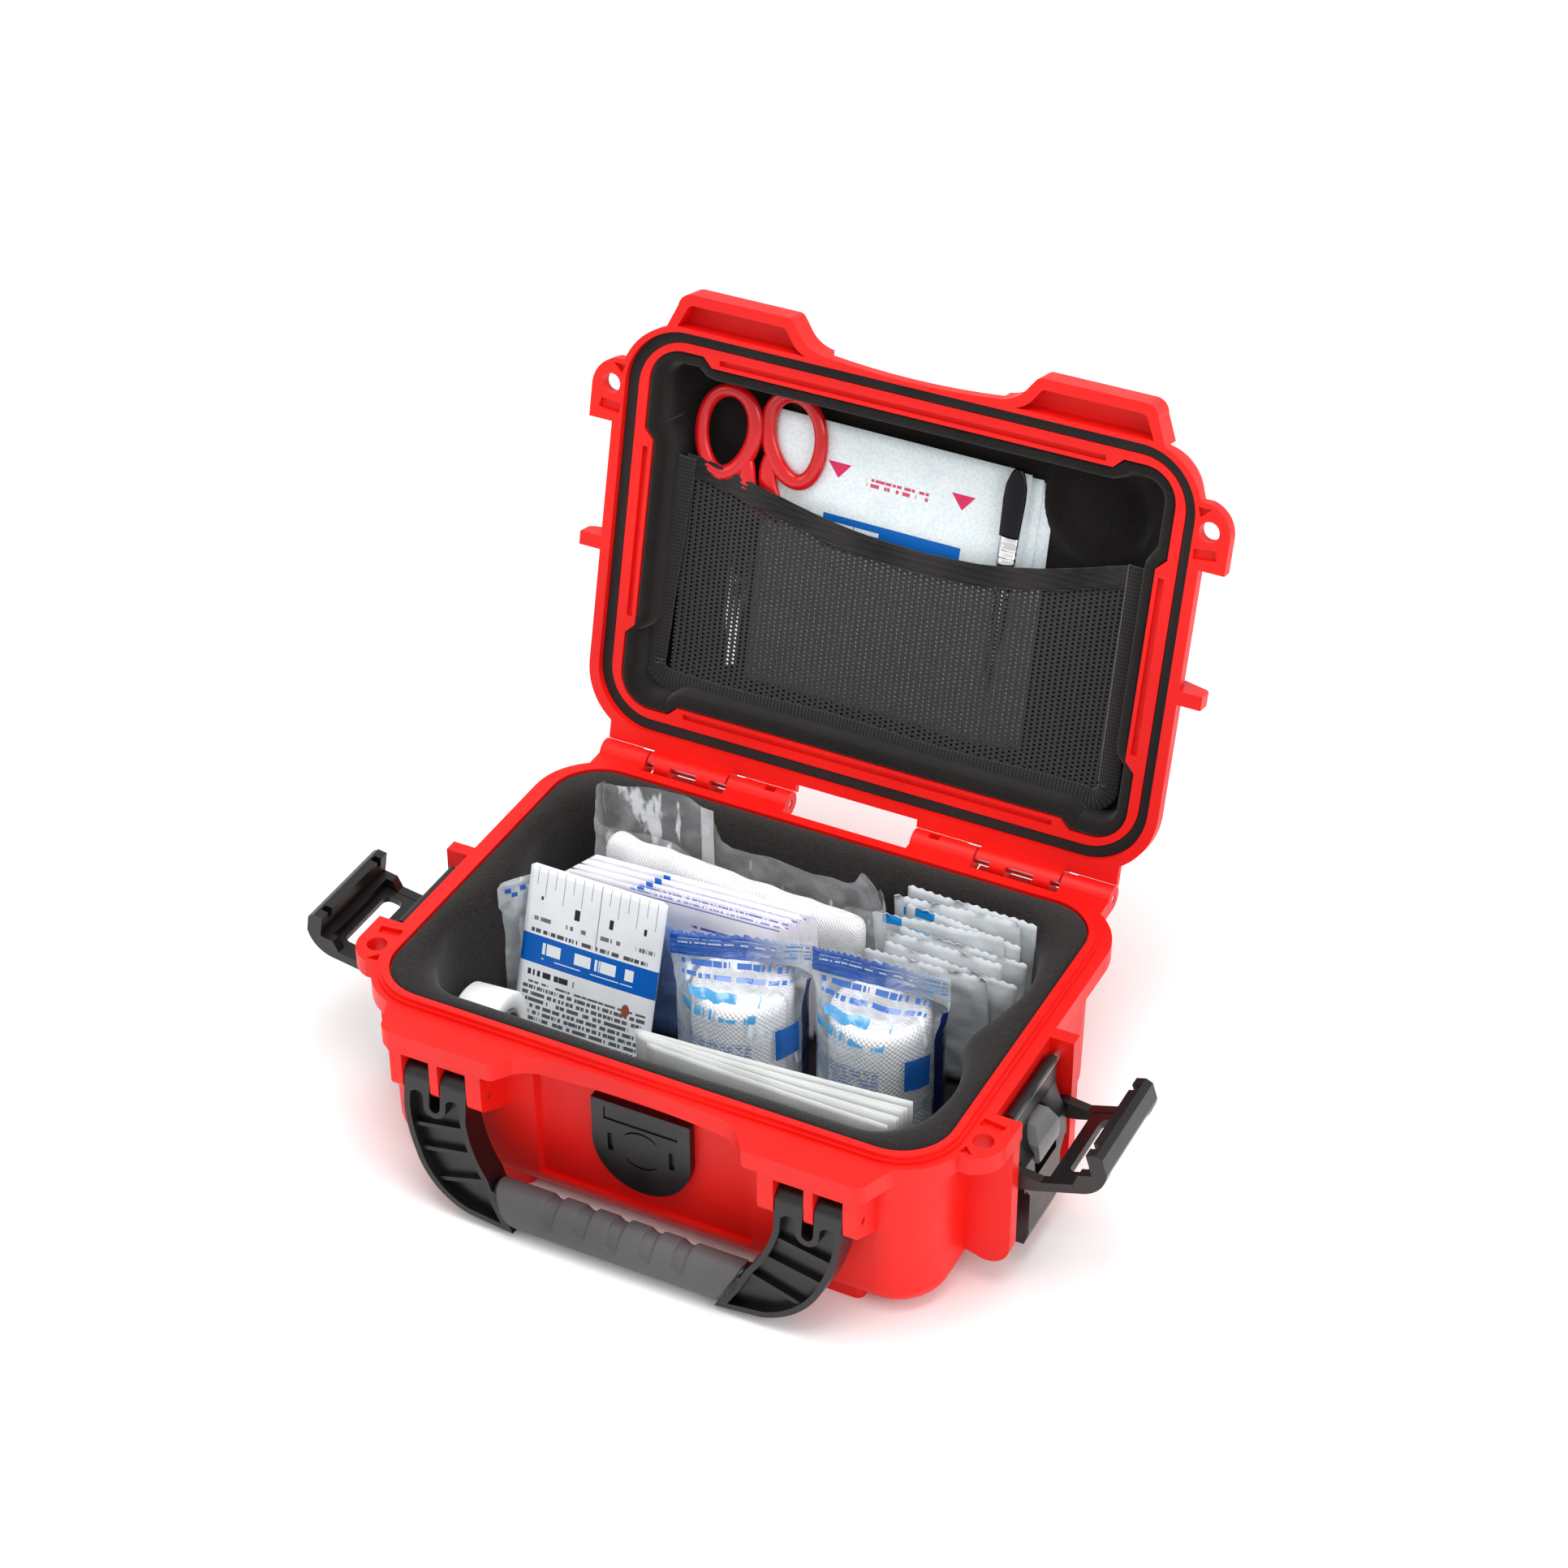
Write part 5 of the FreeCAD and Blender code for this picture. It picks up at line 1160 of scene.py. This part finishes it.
def clear_bag():
    """An open clear bag round the dressing: tall at its folded left end, loose at the right."""
    bag = film("film_bag", (238, 242, 244), 0.07, None, 0.9, 0.16)
    count, points, sheet = 220, [], []
    levels = [0.0, 3.0, 10.0, 20.0, 30.0, 40.0, 48.0, 52.0, 55.0, 58.0, 61.0, 64.0, 67.0, 70.0]
    for level in levels:
        rise = max(0.0, (level - 48.0) / 22.0)
        for step in range(count):
            angle = 2.0 * math.pi * step / count
            c, s = math.cos(angle), math.sin(angle)
            x = 61.5 * math.copysign(abs(c) ** 0.55, c)
            y = 10.4 * math.copysign(abs(s) ** 0.7, s)
            if level < 4.0:
                y *= 0.75
            folded = 1.0 / (1.0 + math.exp((x + 14.5) / 0.9))
            flare = math.exp(-((x - 55.0) / 7.0) ** 2)
            if s < 0.3:
                y += rise * (4.0 + 3.0 * folded) * (0.5 + 0.5 * wave(x, level, 0.0, 22.0, 12.0))
            loose = 0.7 + 1.8 * rise
            x += loose * 0.5 * wave(x, y, level, 11.0, 14.0) - 5.0 * rise * flare
            y += loose * wave(x, level * 1.2, y * 0.3, 10.0, 15.0)
            tall = 1.0 if s > 0.0 else 0.45
            top = 60.0 + tall * (3.0 + 16.5 * folded + 9.0 * flare)
            height = level if level < 48.0 else 48.0 + (top - 48.0) * rise
            height += 1.4 * rise * wave(x, 0.0, y, 24.0, 16.0)
            points.append((x - 21.5, y + 39.0, TRAY_FLOOR + height))
            sheet.append((x, level))
    made = piece("clear_bag", points, grid_faces(len(levels), count, closed=True), bag,
                 "bandage_bag", sheet, replaces=["bandage_bag"], slot="clear_film")
    fold_under_lid(made)
    seal = film("film_seal", (242, 245, 247), 0.2, None, 0.6)
    points, sheet = [], []
    for column in range(6):
        for row in range(25):
            z = 66.0 + 30.5 * row / 24
            x = -36.2 - 1.1 * column + 0.4 * wave(0.0, z, 0.0, 9.0, 21.0)
            y = 47.6 + 0.5 * wave(x, z, 0.0, 8.0, 22.0) + (0.25 if column % 2 else 0.0)
            points.append((x, y, z))
            sheet.append((x, z))
    made = piece("bag_seal", points, grid_faces(6, 25), seal, "bandage_bag", sheet,
                 slot="clear_film")
    thick(made, 0.15)
    fold_under_lid(made)


def card():
    packet("size_card", 58.0, 75.0, 0.5, stand(-58.0, -25.2, 18.0, 0.0, 17.9),
           paper("card_stock", (238, 241, 245), 0.42, card_marks, 0.06), "card",
           margin=0.6, bend=0.5, wrinkle=0.12, corner=1.2, replaces=["id_card"],
           slot="white_card")


def gauze():
    left, right = (4.5, -7.5), (56.5, 1.5)
    roll_of_gauze("gauze_roll_1", left, "gauze_left", "gauze_roll_left")
    roll_of_gauze("gauze_roll_2", right, "gauze_right", "gauze_roll_right")
    flow_wrap("gauze_film_1", left, 18.0, "gauze_left", "gauze_wrapper_left", 1.0)
    flow_wrap("gauze_film_2", right, 5.5, "gauze_right", "gauze_wrapper_right", 2.0)


def bandage_stack():
    """Wrapped adhesive bandages, one behind another and sloping a little."""
    strip_paper = paper("strip_paper", (243, 241, 247), 0.55, strip_marks, 0.2)
    slope = Matrix.Rotation(math.radians(-3.6), 4, "Y")
    for number in range(4):
        place = stand(-27.5 - 2.2 * number, 25.4 - 3.0 * number, 21.4, -1.2, 1.5) @ slope
        packet("bandage_strip_%d" % (number + 1), 98.0, 57.6 - 0.9 * number, 1.6, place,
               strip_paper, "bandage_strips", margin=7.0, seed=20.0 + number, wrinkle=0.3,
               corner=3.0, replaces=["bandage_strips"] if number == 0 else (),
               slot="white_paper")


def blue_packet():
    blue = film("film_blue_pack", (120, 150, 205), 0.75, None, 0.8)
    packet("blue_packet", 50.0, 54.0, 4.0, stand(-44.0, 5.5, TRAY_FLOOR, 2.0, 0.0), blue,
           "blue_pack", margin=6.0, seed=31.0, wrinkle=0.6, replaces=["blue_pack"],
           slot="blue_pack")


def small_bag_marks(made):
    ink = linear(20, 84, 176)
    return [(made.patch(2.6, 5.0, 59.0, 61.0), ink), (made.patch(5.0, 7.4, 57.0, 59.0), ink),
            (made.patch(8.6, 11.0, 59.0, 61.0), ink)]


def small_bag():
    packet("small_clear_bag", 22.0, 64.0, 3.0, stand(-90.2, -3.0, TRAY_FLOOR, 54.0, 0.0),
           film("film_small_bag", (225, 232, 236), 0.34, small_bag_marks, 0.6), "small_bag",
           margin=5.0, seed=37.0, wrinkle=0.5, corner=3.0, replaces=["small_bag"],
           slot="clear_film")


def foil_packets():
    """A loose stack of foil packets, each turned and tilted a little from the next."""
    foil = paper("foil_paper", (198, 203, 206), 0.4, foil_marks, 1.0)
    turns = (-1.5, 2.0, -3.5, 1.0, 4.0, -2.5, 2.5, -1.0)
    tilts = (0.0, -3.0, 2.5, -5.0, 3.5, -2.0, 5.0, -3.5)
    for number, (turn, tilt) in enumerate(zip(turns, tilts)):
        height = 61.6 - 1.9 * number + 1.5 * (number % 2)
        place = (stand(67.4 - 1.3 * (number % 4), 54.6 - 3.6 * number, 19.6, turn, 2.0)
                 @ Matrix.Rotation(math.radians(tilt), 4, "Y"))
        packet("foil_packet_%d" % (number + 1), 53.0 - 2.5 * (number % 3), height, 1.9, place,
               foil, "foil_packs", margin=5.0, seed=40.0 + number, wrinkle=1.1, saw=0.8,
               replaces=["foil_packs"] if number == 0 else (), slot="white_paper")


def paper_packets():
    """Flat paper packets fanned out along the front wall; they meet at their left ends."""
    thin = paper("thin_paper", (214, 217, 216), 0.6, None, 0.4)
    length = 106.0
    shorter = (0.0, 5.0, 2.0, 8.0, 4.0, 10.0)
    lower = (0.0, 1.4, 0.6, 2.2, 1.0, 2.8)
    shifts = (0.0, 1.5, -0.5, 2.0, 0.0, 1.0)
    for number in range(6):
        right_end = -49.6 - 2.5 * number
        left_end = -57.6 - 0.45 * number
        turn = math.degrees(math.atan2(right_end - left_end, length))
        place = stand(40.5 + shifts[number], (right_end + left_end) / 2.0, TRAY_FLOOR, turn,
                      -1.0)
        packet("paper_packet_%d" % (number + 1), length - shorter[number],
               59.6 - lower[number], 0.5, place, thin, "paper_packs", margin=5.0,
               seed=60.0 + number, wrinkle=0.3, bend=0.6,
               replaces=["paper_packs"] if number == 0 else (), slot="white_paper")


card()
tape()
gauze()
bandage_stack()
soft_pad()
clear_bag()
blue_packet()
small_bag()
foil_packets()
paper_packets()


# ------------------------------------------------------------------ floor, light, camera

def studio():
    floor_material = Material("pale_floor", (0.97, 0.97, 0.97, 1.0), 0.75,
                              Specular_IOR_Level=0.2).material
    mesh = bpy.data.meshes.new("floor")
    mesh.from_pydata([(-6, -6, 0), (6, -6, 0), (6, 6, 0), (-6, 6, 0)], [], [(0, 1, 2, 3)])
    mesh.materials.append(floor_material)
    floor = bpy.data.objects.new("floor", mesh)
    bpy.context.scene.collection.objects.link(floor)
    world = bpy.data.worlds.new("studio")
    world.use_nodes = True
    world.node_tree.nodes["Background"].inputs[0].default_value = (1.0, 1.0, 1.0, 1.0)
    world.node_tree.nodes["Background"].inputs[1].default_value = 0.8
    bpy.context.scene.world = world
    for name, place, size, power in (("top", (0.1, -0.1, 1.5), 1.0, 15.0),
                                     ("right", (1.5, -0.6, 0.9), 0.9, 10.0),
                                     ("left", (-1.4, -0.9, 0.8), 0.8, 3.0)):
        lamp = bpy.data.lights.new(name, "AREA")
        lamp.size = size
        lamp.energy = power
        made = bpy.data.objects.new(name, lamp)
        made.location = place
        aim = Vector((0.0, 0.0, 0.08)) - Vector(place)
        made.rotation_euler = aim.to_track_quat("-Z", "Y").to_euler()
        bpy.context.scene.collection.objects.link(made)
    view = bpy.context.scene.view_settings
    view.view_transform = "Standard"
    view.look = "None"


def camera():
    """Looks down at the open case from its front right corner."""
    azimuth, elevation, roll = (math.radians(angle) for angle in (27.04, 35.66, -0.31))
    aim = Vector((0.00581, 0.02421, 0.13780))
    distance = 1.3
    back = Vector((math.sin(azimuth) * math.cos(elevation),
                   -math.cos(azimuth) * math.cos(elevation), math.sin(elevation)))
    right = Vector((math.cos(azimuth), math.sin(azimuth), 0.0))
    up = back.cross(right)
    across = right * math.cos(roll) + up * math.sin(roll)
    above = up * math.cos(roll) - right * math.sin(roll)
    lens = bpy.data.cameras.new("camera")
    lens.sensor_width = 36.0
    lens.lens = 82.40
    lens.clip_start = 0.05
    made = bpy.data.objects.new("camera", lens)
    made.matrix_world = (Matrix.Translation(aim + back * distance)
                         @ Matrix((across, above, back)).transposed().to_4x4())
    bpy.context.scene.collection.objects.link(made)
    bpy.context.scene.camera = made


studio()
camera()
